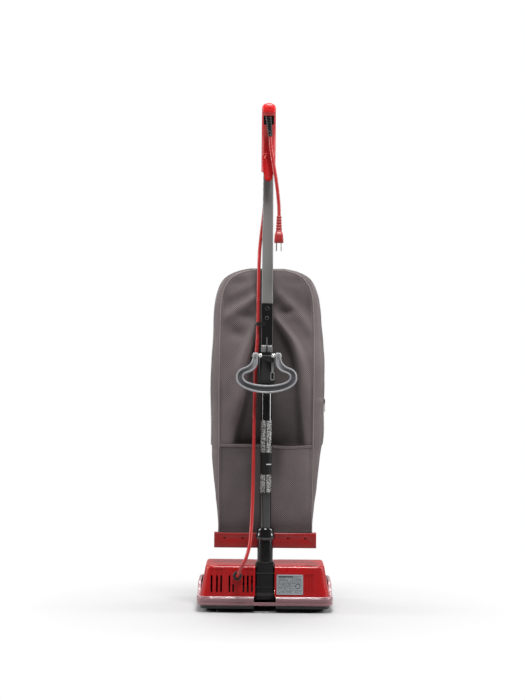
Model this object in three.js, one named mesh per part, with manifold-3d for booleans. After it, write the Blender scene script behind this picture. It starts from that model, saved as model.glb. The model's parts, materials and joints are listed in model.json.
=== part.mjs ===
// An upright commercial vacuum cleaner: a low motor base on two rear wheels, a handle that tilts back
// on a hollow neck, and a cloth dust bag that hangs in front of the handle tube.
//
// Millimetres. +Z is up, +Y is the way the machine is pushed, +X is the operator's right.
// The drawing is laid out from the tilt axis, at y = 0, and the whole group is moved at the end so that
// the origin lies under the middle of the machine.

import * as THREE from "three";
import { mergeVertices } from "three/addons/utils/BufferGeometryUtils.js";
import Module from "manifold-3d";

const wasm = await Module();
wasm.setup();

// ---------------------------------------------------------------- driving dimensions

const GAP = 0.4; // between pieces that only touch

const base = {
  halfWidth: 165,
  rear: -34,
  front: 250,
  floor: 9, // underside of the chassis
  rim: 39, // top of the bumper at the rear, foot of the hood
  frontRim: 60, // top of the bumper from the middle of the sides to the front
  top: 112,
};
const bumperWall = 8;
const hoodWall = 2.4;
const notch = { halfWidth: 26.5, front: 30, sill: 25 }; // the opening that the neck swings in

const tilt = { y: 0, z: 46 }; // the neck's axis
const rotor = { y: 88, z: 60 }; // the motor shaft's axis
const brush = { y: 205, z: 28, bristle: 23, core: 16 }; // the brush roll's axis and radii
const wheel = { x: 128, y: 4, radius: 23, width: 24 };

const neck = { drum: 20, halfWidth: 22, halfDepth: 19, shoulder: 119, top: 172, radius: 18.5 };
const collar = { bottom: 172.5, top: 202, radius: 23.6 };
const fillTube = { radius: 13.5, bore: 12, bottom: 141, top: 560 };
const dock = { bottom: 550, top: 614, spout: 590, halfWidth: 19.2 };
const bail = { y: -27, z: 617.5, thickness: 16 };
const tube = { bottom: 642, top: 1120, lower: [28, 20], upper: [24.4, 18] };
const bracket = { top: 744, screws: [731, 708] };
const grip = { bottom: 1061, wall: 3.2 };
const hook = { z: 1098, bottom: 1036, rear: -36, thickness: 6 };
const clip = { halfWidth: 124, bottom: 150, floor: 160, top: 187, rear: 24, front: 52 };
const cord = { radius: 4.25 };

// ---------------------------------------------------------------- solids

// A closed geometry as a manifold-3d solid.
function toManifold(geometry) {
  const bare = new THREE.BufferGeometry();
  bare.setAttribute("position", geometry.getAttribute("position").clone());
  if (geometry.index) bare.setIndex(geometry.index.clone());
  const merged = mergeVertices(bare, 1e-4);
  return new wasm.Manifold(
    new wasm.Mesh({
      numProp: 3,
      vertProperties: new Float32Array(merged.attributes.position.array),
      triVerts: new Uint32Array(merged.index.array),
    }),
  );
}

function toGeometry(manifold) {
  const mesh = manifold.getMesh();
  const geometry = new THREE.BufferGeometry();
  geometry.setAttribute("position", new THREE.BufferAttribute(new Float32Array(mesh.vertProperties), 3));
  geometry.setIndex(new THREE.BufferAttribute(new Uint32Array(mesh.triVerts), 1));
  return geometry;
}

function combine(operation, first, others) {
  let result = toManifold(first);
  for (const other of others) result = result[operation](toManifold(other));
  return toGeometry(result);
}

const join = (first, ...others) => combine("add", first, others);
const cut = (first, ...tools) => combine("subtract", first, tools);
const common = (first, ...others) => combine("intersect", first, others);

const box = (x0, x1, y0, y1, z0, z1) =>
  new THREE.BoxGeometry(x1 - x0, y1 - y0, z1 - z0).translate((x0 + x1) / 2, (y0 + y1) / 2, (z0 + z1) / 2);

const rodX = (radius, x0, x1, y = 0, z = 0, sides = 20) =>
  new THREE.CylinderGeometry(radius, radius, x1 - x0, sides)
    .rotateZ(-Math.PI / 2)
    .translate((x0 + x1) / 2, y, z);

const rodY = (radius, y0, y1, x = 0, z = 0, sides = 20) =>
  new THREE.CylinderGeometry(radius, radius, y1 - y0, sides).translate(x, (y0 + y1) / 2, z);

const rodZ = (radius, z0, z1, x = 0, y = 0, sides = 20) =>
  new THREE.CylinderGeometry(radius, radius, z1 - z0, sides)
    .rotateX(Math.PI / 2)
    .translate(x, y, (z0 + z1) / 2);

const extrude = (shape, depth, curveSegments) =>
  new THREE.ExtrudeGeometry(shape, { depth, bevelEnabled: false, curveSegments });

// A shape drawn in (x, y), (y, z) or (x, z), extruded along the third axis.
const prismZ = (shape, z0, z1, curveSegments = 4) => extrude(shape, z1 - z0, curveSegments).translate(0, 0, z0);

const alongX = new THREE.Matrix4().makeBasis(
  new THREE.Vector3(0, 1, 0),
  new THREE.Vector3(0, 0, 1),
  new THREE.Vector3(1, 0, 0),
);
const prismX = (shape, x0, x1, curveSegments = 4) =>
  extrude(shape, x1 - x0, curveSegments).applyMatrix4(alongX).translate(x0, 0, 0);

const prismY = (shape, y0, y1, curveSegments = 4) =>
  extrude(shape, y1 - y0, curveSegments)
    .rotateX(Math.PI / 2)
    .translate(0, y1, 0);

// A polygon whose corners may be rounded: each point is [across, up, radius].
function outline(points) {
  const shape = new THREE.Shape();
  const count = points.length;
  const corner = (i) => new THREE.Vector2(...points[(i + count) % count].slice(0, 2));
  points.forEach(([, , radius = 0], i) => {
    const here = corner(i);
    const before = corner(i - 1).sub(here).normalize();
    const after = corner(i + 1).sub(here).normalize();
    const half = Math.acos(THREE.MathUtils.clamp(before.dot(after), -1, 1)) / 2;
    const reach = radius / Math.tan(half);
    const start = here.clone().addScaledVector(before, reach);
    const end = here.clone().addScaledVector(after, reach);
    if (i === 0) shape.moveTo(start.x, start.y);
    else shape.lineTo(start.x, start.y);
    if (radius > 0) shape.quadraticCurveTo(here.x, here.y, end.x, end.y);
  });
  shape.closePath();
  return shape;
}

const plate = (halfWidth, low, high, radius) =>
  outline([
    [-halfWidth, low, radius],
    [halfWidth, low, radius],
    [halfWidth, high, radius],
    [-halfWidth, high, radius],
  ]);

// A closed skin over rings of points that all have the same number of points. The ends are convex.
function loft(rings) {
  const count = rings[0].length;
  const points = rings.flat();
  const index = [];
  for (let r = 0; r + 1 < rings.length; r++) {
    for (let i = 0; i < count; i++) {
      const a = r * count + i;
      const b = r * count + ((i + 1) % count);
      index.push(a, b, b + count, a, b + count, a + count);
    }
  }
  const last = (rings.length - 1) * count;
  for (let i = 1; i + 1 < count; i++) index.push(0, i + 1, i, last, last + i, last + i + 1);
  return new THREE.BufferGeometry().setFromPoints(points).setIndex(index);
}

// A ring of a rounded rectangle: power 2 is an ellipse, and a higher power is squarer.
function squareRing(halfWidth, halfDepth, power, count, place) {
  return Array.from({ length: count }, (_, i) => {
    const angle = (i / count) * 2 * Math.PI + Math.PI / count;
    const soften = (value) => Math.sign(value) * Math.abs(value) ** (2 / power);
    return place(halfWidth * soften(Math.cos(angle)), halfDepth * soften(Math.sin(angle)));
  });
}

const turned = (profile, sides = 24) =>
  new THREE.LatheGeometry(
    profile.map(([radius, z]) => new THREE.Vector2(radius, z)),
    sides,
  ).rotateX(Math.PI / 2);

function sweep(points, radius, sides, steps) {
  const circle = new THREE.Shape().absarc(0, 0, radius, 0, 2 * Math.PI);
  const path = new THREE.CatmullRomCurve3(
    points.map((p) => new THREE.Vector3(...p)),
    false,
    "centripetal",
  );
  return new THREE.ExtrudeGeometry(circle, { steps, curveSegments: sides, extrudePath: path });
}

// ---------------------------------------------------------------- materials

const paint = (color, roughness, metalness = 0) => new THREE.MeshStandardMaterial({ color, roughness, metalness });

const material = {
  redPlastic: paint(0xb01a1c, 0.32),
  blackPlastic: paint(0x141516, 0.42),
  greyBumper: paint(0x9c8a8c, 0.3),
  greyPlastic: paint(0x4a4b4c, 0.35),
  tubePaint: paint(0x74716f, 0.38, 0.4),
  blackPaint: paint(0x121212, 0.3, 0.2),
  steel: paint(0xc8c8c6, 0.25, 1),
  rubber: paint(0x101010, 0.7),
  redRubber: paint(0xb53a3a, 0.45),
  bagCloth: paint(0x5a5150, 0.9),
  paper: paint(0xd9d2c4, 0.95),
  iron: paint(0x55585c, 0.5, 0.8),
  copper: paint(0xb06a3a, 0.4, 0.9),
  brass: paint(0xc0a050, 0.35, 0.9),
  bristle: paint(0x1c1c20, 0.8),
  label: paint(0xa8abad, 0.4),
  wood: paint(0x8c6b47, 0.5),
};

const machine = new THREE.Group();

function add(parent, name, geometry, finish, position = [0, 0, 0]) {
  geometry.computeVertexNormals();
  const mesh = new THREE.Mesh(geometry, finish);
  mesh.name = name;
  mesh.position.set(...position);
  parent.add(mesh);
  return mesh;
}

function groupAt(parent, x, y, z) {
  const group = new THREE.Group();
  group.position.set(x, y, z);
  parent.add(group);
  return group;
}

const sides = [
  ["left", -1],
  ["right", 1],
];

// ---------------------------------------------------------------- base: housings

const footprint = (inset, radius) =>
  plate(base.halfWidth - inset, base.rear + inset, base.front - inset, radius);

function makeBumper() {
  const ring = cut(
    prismZ(footprint(0, 34), 17, base.frontRim),
    prismZ(footprint(bumperWall, 27), 0, base.frontRim + 9),
  );
  const rise = outline([
    [base.rear - 9, base.rim],
    [70, base.rim],
    [118, base.frontRim],
    [118, base.frontRim + 9],
    [base.rear - 9, base.frontRim + 9],
  ]);
  const sill = box(-notch.halfWidth, notch.halfWidth, base.rear - 9, 0, notch.sill, base.rim + 1);
  return cut(ring, prismX(rise, -base.halfWidth - 9, base.halfWidth + 9), sill);
}

const wheelWell = (side) => {
  const x = side * wheel.x;
  const half = wheel.width / 2 + 3;
  return box(x - half, x + half, wheel.y - wheel.radius - 4, wheel.y + wheel.radius + 4, 0, 14);
};

function makeChassis() {
  const skin = bumperWall + GAP;
  const wall = skin + 3;
  const tray = cut(
    prismZ(footprint(skin, 26), base.floor, base.rim - GAP),
    prismZ(footprint(wall, 23), base.floor + 3, base.rim + 9),
  );
  const mouth = box(-137, 137, 176, 234, 0, 20);
  const slot = box(-notch.halfWidth, notch.halfWidth, base.rear - 9, notch.front, 0, base.rim + 9);
  const opened = cut(tray, mouth, slot, wheelWell(-1), wheelWell(1));
  // Two ears that carry the neck's bearings, and the struts that hold the wheel axles.
  const ear = (side) => {
    const x = side * (notch.halfWidth + 3);
    return box(x - 3, x + 3, -22, 22, base.floor, 68);
  };
  const strut = (side) => {
    const x = side * (wheel.x - wheel.width / 2 - 5);
    return box(x - 2, x + 2, wheel.y - 9, wheel.y + 9, base.floor, 36);
  };
  const whole = join(opened, ear(-1), ear(1), strut(-1), strut(1));
  return cut(
    whole,
    rodX(15.2, -36, -20, tilt.y, tilt.z),
    rodX(6.4, 20, 36, tilt.y, tilt.z),
    rodX(4.4, -wheel.x - 25, -90, wheel.y, wheel.radius, 20),
    rodX(4.4, 90, wheel.x + 25, wheel.y, wheel.radius, 20),
  );
}

// The hood is the meeting of its side, rear and plan outlines, each drawn in by the wall for the hollow.
function hoodBody(inset) {
  const foot = inset > 0 ? base.rim - 9 : base.rim;
  const lean = 10 / 73; // the rear face leans forward by this much per millimetre of height
  const drop = (base.rim - foot) * lean;
  const side = outline([
    [base.rear + 3 + inset - drop, foot],
    [base.rear + 13 + inset, base.top - inset, 7],
    [137 - inset / 2, base.top - inset, 22],
    [200 - inset / 2, 74 - inset, 16],
    [240 - inset, 62 - inset, 10],
    [240 - inset, foot],
  ]);
  const draft = 13 / 73;
  const rear = outline([
    [-(156 - inset + (base.rim - foot) * draft), foot],
    [-(143 - inset), base.top - inset, 9],
    [143 - inset, base.top - inset, 9],
    [156 - inset + (base.rim - foot) * draft, foot],
  ]);
  const plan = outline([
    [-156.5 + inset, base.rear + 2 + inset, 24],
    [156.5 - inset, base.rear + 2 + inset, 24],
    [156.5 - inset, 240 - inset, 29],
    [-156.5 + inset, 240 - inset, 29],
  ]);
  return common(
    prismX(side, -170, 170),
    prismY(rear, base.rear - 20, base.front + 20),
    prismZ(plan, foot - 5, base.top + 9),
  );
}

const vent = { pitch: 10, width: 3.6, bottom: 49, top: 89 };
const ventPlaces = [-128, -115, -105, -85, -51, -41, -31]; // open slots, left of the neck

function makeHood() {
  const slots = ventPlaces.map((x) =>
    box(x - vent.width / 2, x + vent.width / 2, base.rear - 9, base.rear + 20, vent.bottom, vent.top),
  );
  const short = box(-78, -74.4, base.rear - 9, base.rear + 20, vent.bottom, vent.bottom + 19);
  return cut(
    hoodBody(0),
    hoodBody(hoodWall),
    box(-notch.halfWidth, notch.halfWidth, base.rear - 9, notch.front, 0, base.top + 9),
    rodY(9, base.rear - 9, base.rear + 30, grommet.x, grommet.z, 24),
    ...slots,
    short,
  );
}

const grommet = { x: -66, z: 88 };

function makeGrommet() {
  const y = base.rear + 3 + ((grommet.z - base.rim) * 10) / 73;
  const profile = [
    [4.6, -6],
    [11, -6],
    [11, -2],
    [8.5, -1],
    [8.5, 5],
    [10.5, 6],
    [10.5, 8],
    [4.6, 8],
    [4.6, -6],
  ];
  return { geometry: turned(profile, 24).rotateX(-Math.PI / 2 - Math.atan(10 / 73)), y };
}

add(machine, "bumper", makeBumper(), material.greyBumper);
add(machine, "chassis", makeChassis(), material.blackPlastic);
add(machine, "hood", makeHood(), material.redPlastic);
const madeGrommet = makeGrommet();
add(machine, "lead_grommet", madeGrommet.geometry, material.rubber, [grommet.x, madeGrommet.y - 1.2, grommet.z]);

// The nozzle plate closes the underside round the brush, and slides on two pressed runners.
function makeNozzlePlate() {
  const sheet = prismZ(plate(150, 168, 240.5, 6), 6.4, base.floor - GAP);
  const mouth = box(-135, 135, 178, 231.5, 0, 20);
  const runner = (x) => prismX(outline([[172, 7], [180, 0, 6], [228, 0, 6], [236, 7]]), x - 3, x + 3);
  return join(cut(sheet, mouth), runner(-145.5), runner(145.5));
}
add(machine, "nozzle_plate", makeNozzlePlate(), material.steel);

// A turn button holds each rear corner of the nozzle plate.
const plateLatch = { x: 118, y: 161, reach: 14 };
for (const [name, side] of sides) {
  const latch = groupAt(machine, side * plateLatch.x, plateLatch.y, 0);
  const arm = prismZ(plate(4.5, -5, plateLatch.reach, 4), 3.4, 6);
  add(latch, `plate_latch_${name}`, join(arm, rodZ(5, 3.4, base.floor - GAP, 0, 0, 20)), material.blackPlastic);
}

// The rating plate sits on the rear face, which leans.
const ratingPlate = prismY(plate(32, -24, 24, 3), -0.8, 0).rotateX(-Math.atan(10 / 73));
add(machine, "rating_plate", ratingPlate, material.label, [60, base.rear + 7.1 - GAP, 68]);

// ---------------------------------------------------------------- base: wheels

for (const [name, side] of sides) {
  const hub = groupAt(machine, side * wheel.x, wheel.y, wheel.radius);
  const half = wheel.width / 2;
  const profile = [
    [4.5, -half],
    [14, -half],
    [15, -half + 2],
    [19, -half + 2],
    [20, -half],
    [wheel.radius - 2, -half],
    [wheel.radius, -half + 2],
    [wheel.radius, half - 2],
    [wheel.radius - 2, half],
    [4.5, half],
    [4.5, -half],
  ];
  add(hub, `rear_wheel_${name}`, turned(profile, 28).rotateY((side * Math.PI) / 2), material.rubber);
  const axle = join(rodX(4, -half - 9, half + 3, 0, 0, 20), rodX(6.5, half + 1, half + 3, 0, 0, 20));
  add(hub, `wheel_axle_${name}`, side > 0 ? axle : axle.rotateZ(Math.PI), material.steel);
}

// ---------------------------------------------------------------- base: motor and fan

const motor = groupAt(machine, 0, rotor.y, rotor.z);
const bell = { radius: 38, wall: 3, leftEnd: -48, rightEnd: 92 };
const stack = { left: -4, right: 34 }; // the stator's laminations
const coilDepth = 10;

const stator = cut(
  common(prismX(plate(39, -37, 37, 10), stack.left, stack.right), rodX(44, stack.left - 1, stack.right + 1)),
  rodX(22, stack.left - 1, stack.right + 1),
);
add(motor, "motor_stator", stator, material.iron);

const winding = (x0, x1) => cut(rodX(33, x0, x1, 0, 0, 24), rodX(24, x0 - 1, x1 + 1, 0, 0, 24));
add(motor, "field_coil_left", winding(stack.left - coilDepth, stack.left - GAP), material.copper);
add(motor, "field_coil_right", winding(stack.right + GAP, stack.right + coilDepth), material.copper);

// An end bell is a cup, open against the stator, with the shaft's bearing bore in its outer end.
function makeEndBell(inner, outer) {
  const outward = Math.sign(outer - inner);
  const span = (radius, from, to, y = 0, z = 0, count = 24) =>
    rodX(radius, Math.min(from, to), Math.max(from, to), y, z, count);
  const cup = cut(span(bell.radius, inner, outer), span(bell.radius - bell.wall, inner - outward, outer - 3 * outward));
  const seat = join(cup, span(11, outer - 10 * outward, outer));
  const vents = [0, 1, 2, 3].map((i) => {
    const angle = (i * Math.PI) / 2;
    return span(6, outer - 5 * outward, outer + outward, 23 * Math.cos(angle), 23 * Math.sin(angle), 16);
  });
  return cut(seat, span(4.15, inner, outer + outward), ...vents);
}
add(motor, "end_bell_left", makeEndBell(stack.left - GAP, bell.leftEnd), material.blackPlastic);
add(motor, "end_bell_right", makeEndBell(stack.right + GAP, bell.rightEnd), material.blackPlastic);

// The rotor: shaft with its belt pulley, armature, commutator and the fan that the dirt passes through.
const belt = { x0: 119, x1: 129, thickness: 2.2, motorRadius: 7, brushRadius: 15 };
const shaft = join(
  rodX(4, -96, 134, 0, 0, 20),
  rodX(belt.motorRadius, belt.x0 - 1, belt.x1 + 1, 0, 0, 24),
  rodX(9.5, belt.x0 - 3, belt.x0 - 1, 0, 0, 24),
  rodX(9.5, belt.x1 + 1, belt.x1 + 3, 0, 0, 24),
);
add(motor, "motor_shaft", shaft, material.steel);

const shaftBore = (x0, x1) => rodX(4.15, x0 - 1, x1 + 1, 0, 0, 20);
function makeArmature() {
  const length = [stack.left + 1, stack.right - 1];
  const slots = Array.from({ length: 12 }, (_, i) => {
    const angle = (i / 12) * 2 * Math.PI;
    return rodX(2, length[0] - 1, length[1] + 1, 19 * Math.cos(angle), 19 * Math.sin(angle), 8);
  });
  return cut(rodX(20.5, ...length, 0, 0, 24), shaftBore(...length), ...slots);
}
add(motor, "armature", makeArmature(), material.iron);
add(motor, "commutator", cut(rodX(12, 60, 78, 0, 0, 28), shaftBore(60, 78)), material.copper);

const fan = { x0: -82, x1: -62, radius: 42, blades: 6 };
function makeFan() {
  const disc = rodX(fan.radius, fan.x1 - 2.5, fan.x1, 0, 0, 28);
  const hub = rodX(9, fan.x0, fan.x1, 0, 0, 24);
  const blades = Array.from({ length: fan.blades }, (_, i) =>
    box(fan.x0, fan.x1 - 1, -1.2, 1.2, 6, fan.radius - 1).rotateX((i / fan.blades) * 2 * Math.PI),
  );
  return cut(join(disc, hub, ...blades), shaftBore(fan.x0, fan.x1));
}
add(motor, "fan", makeFan(), material.blackPlastic);

// The fan blows through a channel at the rear of its housing into the neck's hollow left trunnion.
const fanHousing = { x0: -90, x1: -56, radius: 47, wall: 2.5 };
function makeFanHousing() {
  const { x0, x1, radius, wall } = fanHousing;
  const channel = (inset) => [
    box(x0 + inset, x1 - inset, -17 + inset, rotor.y, 29 + inset, 63 - inset),
    box(x0 + inset, -33 + (inset > 0 ? 9 : 0), -17 + inset, 17 - inset, 29 + inset, 63 - inset),
  ];
  const outside = join(rodX(radius, x0, x1, rotor.y, rotor.z, 32), ...channel(0));
  const inside = join(rodX(radius - wall, x0 + wall, x1 - wall, rotor.y, rotor.z, 32), ...channel(wall));
  return cut(
    outside,
    inside,
    rodX(22, x0 - 1, x0 + 9, rotor.y, rotor.z, 28),
    rodX(5.5, x1 - 9, x1 + 1, rotor.y, rotor.z, 20),
  );
}
add(machine, "fan_housing", makeFanHousing(), material.blackPlastic);

// The intake duct takes the dirt from the brush tunnel to the fan's eye.
function makeIntakeDuct() {
  const [x0, x1] = [-116, fanHousing.x0 - GAP];
  const outside = outline([
    [62, 34, 8],
    [114, 34],
    [172, 18],
    [172, 45],
    [114, 86, 8],
    [62, 86, 8],
  ]);
  const inside = outline([
    [64.5, 36.5, 7],
    [114, 36.5],
    [175, 20],
    [175, 42],
    [113, 83.5, 7],
    [64.5, 83.5, 7],
  ]);
  const shell = cut(prismX(outside, x0, x1), prismX(inside, x0 + 2.5, x1 - 2.5));
  return cut(shell, rodX(22, x1 - 9, x1 + 1, rotor.y, rotor.z, 28));
}
add(machine, "intake_duct", makeIntakeDuct(), material.blackPlastic);

// ---------------------------------------------------------------- base: brush and belt

// The outline of a belt that runs round both pulleys, grown by a given amount.
function beltOutline(grow) {
  const from = { y: rotor.y, z: rotor.z, radius: belt.motorRadius + grow };
  const to = { y: brush.y, z: brush.z, radius: belt.brushRadius + grow };
  const heading = Math.atan2(to.z - from.z, to.y - from.y);
  const spread = Math.acos((from.radius - to.radius) / Math.hypot(to.y - from.y, to.z - from.z));
  const shape = new THREE.Shape();
  shape.absarc(from.y, from.z, from.radius, heading + spread, heading - spread + 2 * Math.PI);
  shape.absarc(to.y, to.z, to.radius, heading - spread, heading + spread);
  return shape;
}
const beltSolid = cut(
  prismX(beltOutline(0.2 + belt.thickness), belt.x0, belt.x1, 9),
  prismX(beltOutline(0.2), belt.x0 - 1, belt.x1 + 1, 9),
);
add(machine, "drive_belt", beltSolid, material.rubber);

const tunnel = { outer: 31, inner: 28.5, halfLength: 140, floor: base.floor + 3 + GAP };
const aboveFloor = () => box(-150, 150, brush.y - 40, brush.y + 40, tunnel.floor, 90);

function makeBrushTunnel() {
  const shell = cut(
    rodX(tunnel.outer, -tunnel.halfLength, tunnel.halfLength, brush.y, brush.z, 32),
    rodX(tunnel.inner, -tunnel.halfLength - 1, tunnel.halfLength + 1, brush.y, brush.z, 32),
  );
  const port = box(-113, -93, brush.y - 40, brush.y, 20, 42);
  const beltSlot = box(belt.x0 - 4, belt.x1 + 4, brush.y - 40, brush.y + 10, 0, 70);
  return cut(common(shell, aboveFloor()), port, beltSlot);
}
add(machine, "brush_tunnel", makeBrushTunnel(), material.blackPlastic);

for (const [name, side] of sides) {
  const [x0, x1] = side > 0 ? [132.5, 139] : [-139, -132.5];
  const disc = common(rodX(tunnel.inner - GAP, x0, x1, brush.y, brush.z, 32), aboveFloor());
  const cap = cut(disc, rodX(5.1, x0 - 1, x1 + 1, brush.y, brush.z, 20));
  add(machine, `brush_cap_${name}`, cap, material.blackPlastic);
}

const brushRoll = groupAt(machine, 0, brush.y, brush.z);
const brushCore = cut(
  join(rodX(brush.core, -131.5, 131.5), rodX(5, -138, 138)),
  cut(rodX(brush.core + 5, belt.x0 - 0.5, belt.x1 + 0.5), rodX(belt.brushRadius, belt.x0 - 2, belt.x1 + 2, 0, 0, 32)),
);
add(brushRoll, "brush_core", brushCore, material.wood);

// A row of bristles winds half a turn round the core.
function makeBristleRow(start) {
  const steps = 16;
  const rings = Array.from({ length: steps + 1 }, (_, i) => {
    const x = THREE.MathUtils.lerp(-127, 112, i / steps);
    const angle = start + (i / steps) * Math.PI;
    const at = (radius, across) =>
      new THREE.Vector3(
        x,
        radius * Math.cos(angle) - across * Math.sin(angle),
        radius * Math.sin(angle) + across * Math.cos(angle),
      );
    const root = brush.core + GAP;
    return [at(root, -2.2), at(brush.bristle, -3), at(brush.bristle, 3), at(root, 2.2)];
  });
  return loft(rings);
}
add(brushRoll, "bristle_row_front", makeBristleRow(0), material.bristle);
add(brushRoll, "bristle_row_rear", makeBristleRow(Math.PI), material.bristle);

// ---------------------------------------------------------------- neck, collar and fill tube

function makeNeck() {
  const body = join(
    prismZ(plate(neck.halfWidth, -neck.halfDepth, neck.halfDepth, 5), tilt.z, neck.shoulder),
    rodX(neck.drum, -neck.halfWidth, neck.halfWidth, tilt.y, tilt.z),
    rodX(14.8, -32, -neck.halfWidth + 1, tilt.y, tilt.z),
    rodZ(neck.radius, neck.shoulder - 1, neck.top),
    box(-12, 12, 17, notch.front - GAP, tilt.z, tilt.z + 16),
  );
  return cut(
    body,
    rodX(12, -33, 8, tilt.y, tilt.z),
    rodZ(fillTube.bore, tilt.z, neck.top + 1),
    rodZ(fillTube.radius + 0.2, fillTube.bottom, neck.top + 1),
    rodX(6.15, 12, neck.halfWidth + 1, tilt.y, tilt.z, 24),
  );
}
add(machine, "neck", makeNeck(), material.blackPlastic);
add(machine, "neck_pin", join(rodX(6, 13, 37, tilt.y, tilt.z, 24), rodX(9.5, 33, 37, tilt.y, tilt.z)), material.steel);

const collarProfile = [
  [fillTube.radius + 0.3, collar.bottom],
  [22.5, collar.bottom],
  [collar.radius, collar.bottom + 3],
  [collar.radius, collar.bottom + 9],
  [21, collar.bottom + 14],
  [19.5, collar.top - 2],
  [18.5, collar.top],
  [fillTube.radius + 0.3, collar.top],
  [fillTube.radius + 0.3, collar.bottom],
];
add(machine, "collar", turned(collarProfile, 28), material.blackPlastic);

const fillTubeSolid = cut(
  rodZ(fillTube.radius, fillTube.bottom + GAP, fillTube.top),
  rodZ(fillTube.bore, fillTube.bottom, fillTube.top + 1),
);
add(machine, "fill_tube", fillTubeSolid, material.blackPlastic);

// ---------------------------------------------------------------- dock, bracket and handle tube

const latchPin = { x: 14, z: 599 };

function makeDock() {
  const spout = (radius, y0, y1) => rodY(radius, y0, y1, 0, dock.spout, 28);
  const body = join(
    prismZ(plate(dock.halfWidth, -16, 18, 5), dock.bottom, dock.top),
    box(-10.5, 10.5, -30, -14, bail.z - 8, bail.z + 7),
    spout(15, 10, 48),
    spout(17, 23.5, 26),
    box(-7.5, 7.5, -5.5, 5.5, dock.top - 5, bracket.top - 6),
  );
  const screwBores = bracket.screws.map((z) => rodY(2.6, -20, 0, 0, z, 16));
  return cut(
    body,
    rodZ(fillTube.radius + 0.2, dock.bottom - 1, fillTube.top + GAP),
    rodZ(fillTube.bore, dock.bottom, dock.spout),
    spout(fillTube.bore, -6, 49),
    rodY(1.8, -17, -10, latchPin.x, latchPin.z, 12),
    rodX(3.1, -20, 20, bail.y, bail.z, 20),
    ...screwBores,
  );
}
add(machine, "dock", makeDock(), material.blackPlastic);

function makeTube() {
  const ring = (z, [halfWidth, halfDepth], inset) =>
    squareRing(halfWidth / 2 - inset, halfDepth / 2 - inset, 4.5, 20, (x, y) => new THREE.Vector3(x, y, z));
  const solid = (inset, over) =>
    loft([ring(tube.bottom - over, tube.lower, inset), ring(tube.top + over, tube.upper, inset)]);
  const bores = bracket.screws.map((z) => rodY(2.6, -20, 0, 0, z, 16));
  return cut(solid(0, 0), solid(1.6, 1), ...bores);
}
add(machine, "handle_tube", makeTube(), material.tubePaint);

// A black plate covers the joint, with a rivet at each of two places and a slit at its foot.
const coverPlate = cut(
  prismY(plate(10, tube.bottom + 1, bracket.top, 2.5), -12.9, -10.9),
  ...bracket.screws.map((z) => rodY(2.6, -20, 0, 0, z, 16)),
  box(-0.6, 0.6, -20, 0, tube.bottom, tube.bottom + 16),
);
add(machine, "bracket_plate", coverPlate, material.blackPaint);

const rivet = () => join(rodY(2.4, -13.5, -2, 0, 0, 16), rodY(4.2, -14.8, -12.9 - GAP, 0, 0, 20));
add(machine, "rivet_upper", rivet(), material.blackPaint, [0, 0, bracket.screws[0]]);
add(machine, "rivet_lower", rivet(), material.blackPaint, [0, 0, bracket.screws[1]]);

for (const [name, side] of sides) {
  const pad = cut(
    box(side > 0 ? 1.2 : -13.2, side > 0 ? 13.2 : -1.2, -14, -6, bail.z + 8, tube.bottom - GAP),
    rodY(2, -15, -11, side * 7.2, bail.z + 15, 16),
  );
  add(machine, `clamp_${name}`, pad, material.steel);
}

// ---------------------------------------------------------------- carrying handle

const bailSpan = { ear: [21.5, 33.5], washer: [12, 19.5] };
const bailRod = join(
  rodX(3, -36, 36, bail.y, bail.z, 20),
  ...sides.map(([, side]) => rodX(5, ...bailSpan.washer.map((x) => side * x).sort((a, b) => a - b), bail.y, bail.z, 24)),
);
add(machine, "bail_rod", bailRod, material.steel);

// The handle is a D with concave shoulders that run up to two ears on the rod.
function makeCarryHandle() {
  const [near, far] = bailSpan.ear;
  const outer = new THREE.Shape();
  outer.moveTo(-far, 0);
  outer.quadraticCurveTo(-far, -22, -55, -29);
  outer.bezierCurveTo(-74, -34, -78, -56, -68, -68);
  outer.bezierCurveTo(-54, -84, -22, -90, 0, -90);
  outer.bezierCurveTo(22, -90, 54, -84, 68, -68);
  outer.bezierCurveTo(78, -56, 74, -34, 55, -29);
  outer.quadraticCurveTo(far, -22, far, 0);
  outer.absarc((near + far) / 2, 0, (far - near) / 2, 0, Math.PI);
  outer.lineTo(near, -18);
  outer.quadraticCurveTo(26, -38, 48, -42);
  outer.bezierCurveTo(60, -46, 56, -58, 48, -62);
  outer.bezierCurveTo(34, -69, 14, -71, 0, -71);
  outer.bezierCurveTo(-14, -71, -34, -69, -48, -62);
  outer.bezierCurveTo(-56, -58, -60, -46, -48, -42);
  outer.quadraticCurveTo(-26, -38, -near, -18);
  outer.lineTo(-near, 0);
  outer.absarc(-(near + far) / 2, 0, (far - near) / 2, 0, Math.PI);
  const half = bail.thickness / 2;
  return cut(prismY(outer, -half, half, 6), rodX(3.15, -40, 40, 0, 0, 20));
}
const carry = groupAt(machine, 0, bail.y, bail.z);
add(carry, "carry_handle", makeCarryHandle(), material.greyPlastic);

// A small sprung lever with a ring on it, at the right of the dock.
function makeDockLatch() {
  const lever = prismY(plate(2.6, -22, 3, 2.4), -1.5, 1.5);
  const ring = cut(
    prismY(plate(5, -41, -20, 4.8), -1.2, 1.2),
    prismY(plate(2.8, -38.6, -22.4, 2.7), -2, 2),
  );
  return join(lever, ring, rodY(1.4, -1, 3, 0, 0, 16));
}
const dockLatch = groupAt(machine, latchPin.x, -18.5, latchPin.z);
add(dockLatch, "dock_latch", makeDockLatch(), material.steel);

// ---------------------------------------------------------------- grip

// The grip follows the tube, then bends back to the rear. Each station is [y, z, half width, half depth].
const gripStations = [
  [0, grip.bottom, 17, 14.5],
  [0, grip.bottom + 50, 17, 14.5],
  [-5, grip.bottom + 88, 17, 15],
  [-22, grip.bottom + 121, 17.2, 15.2],
  [-44, grip.bottom + 138, 17.8, 15],
  [-56, grip.bottom + 142, 18.2, 14.8],
  [-68, grip.bottom + 142, 18.5, 14.5],
];

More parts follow.
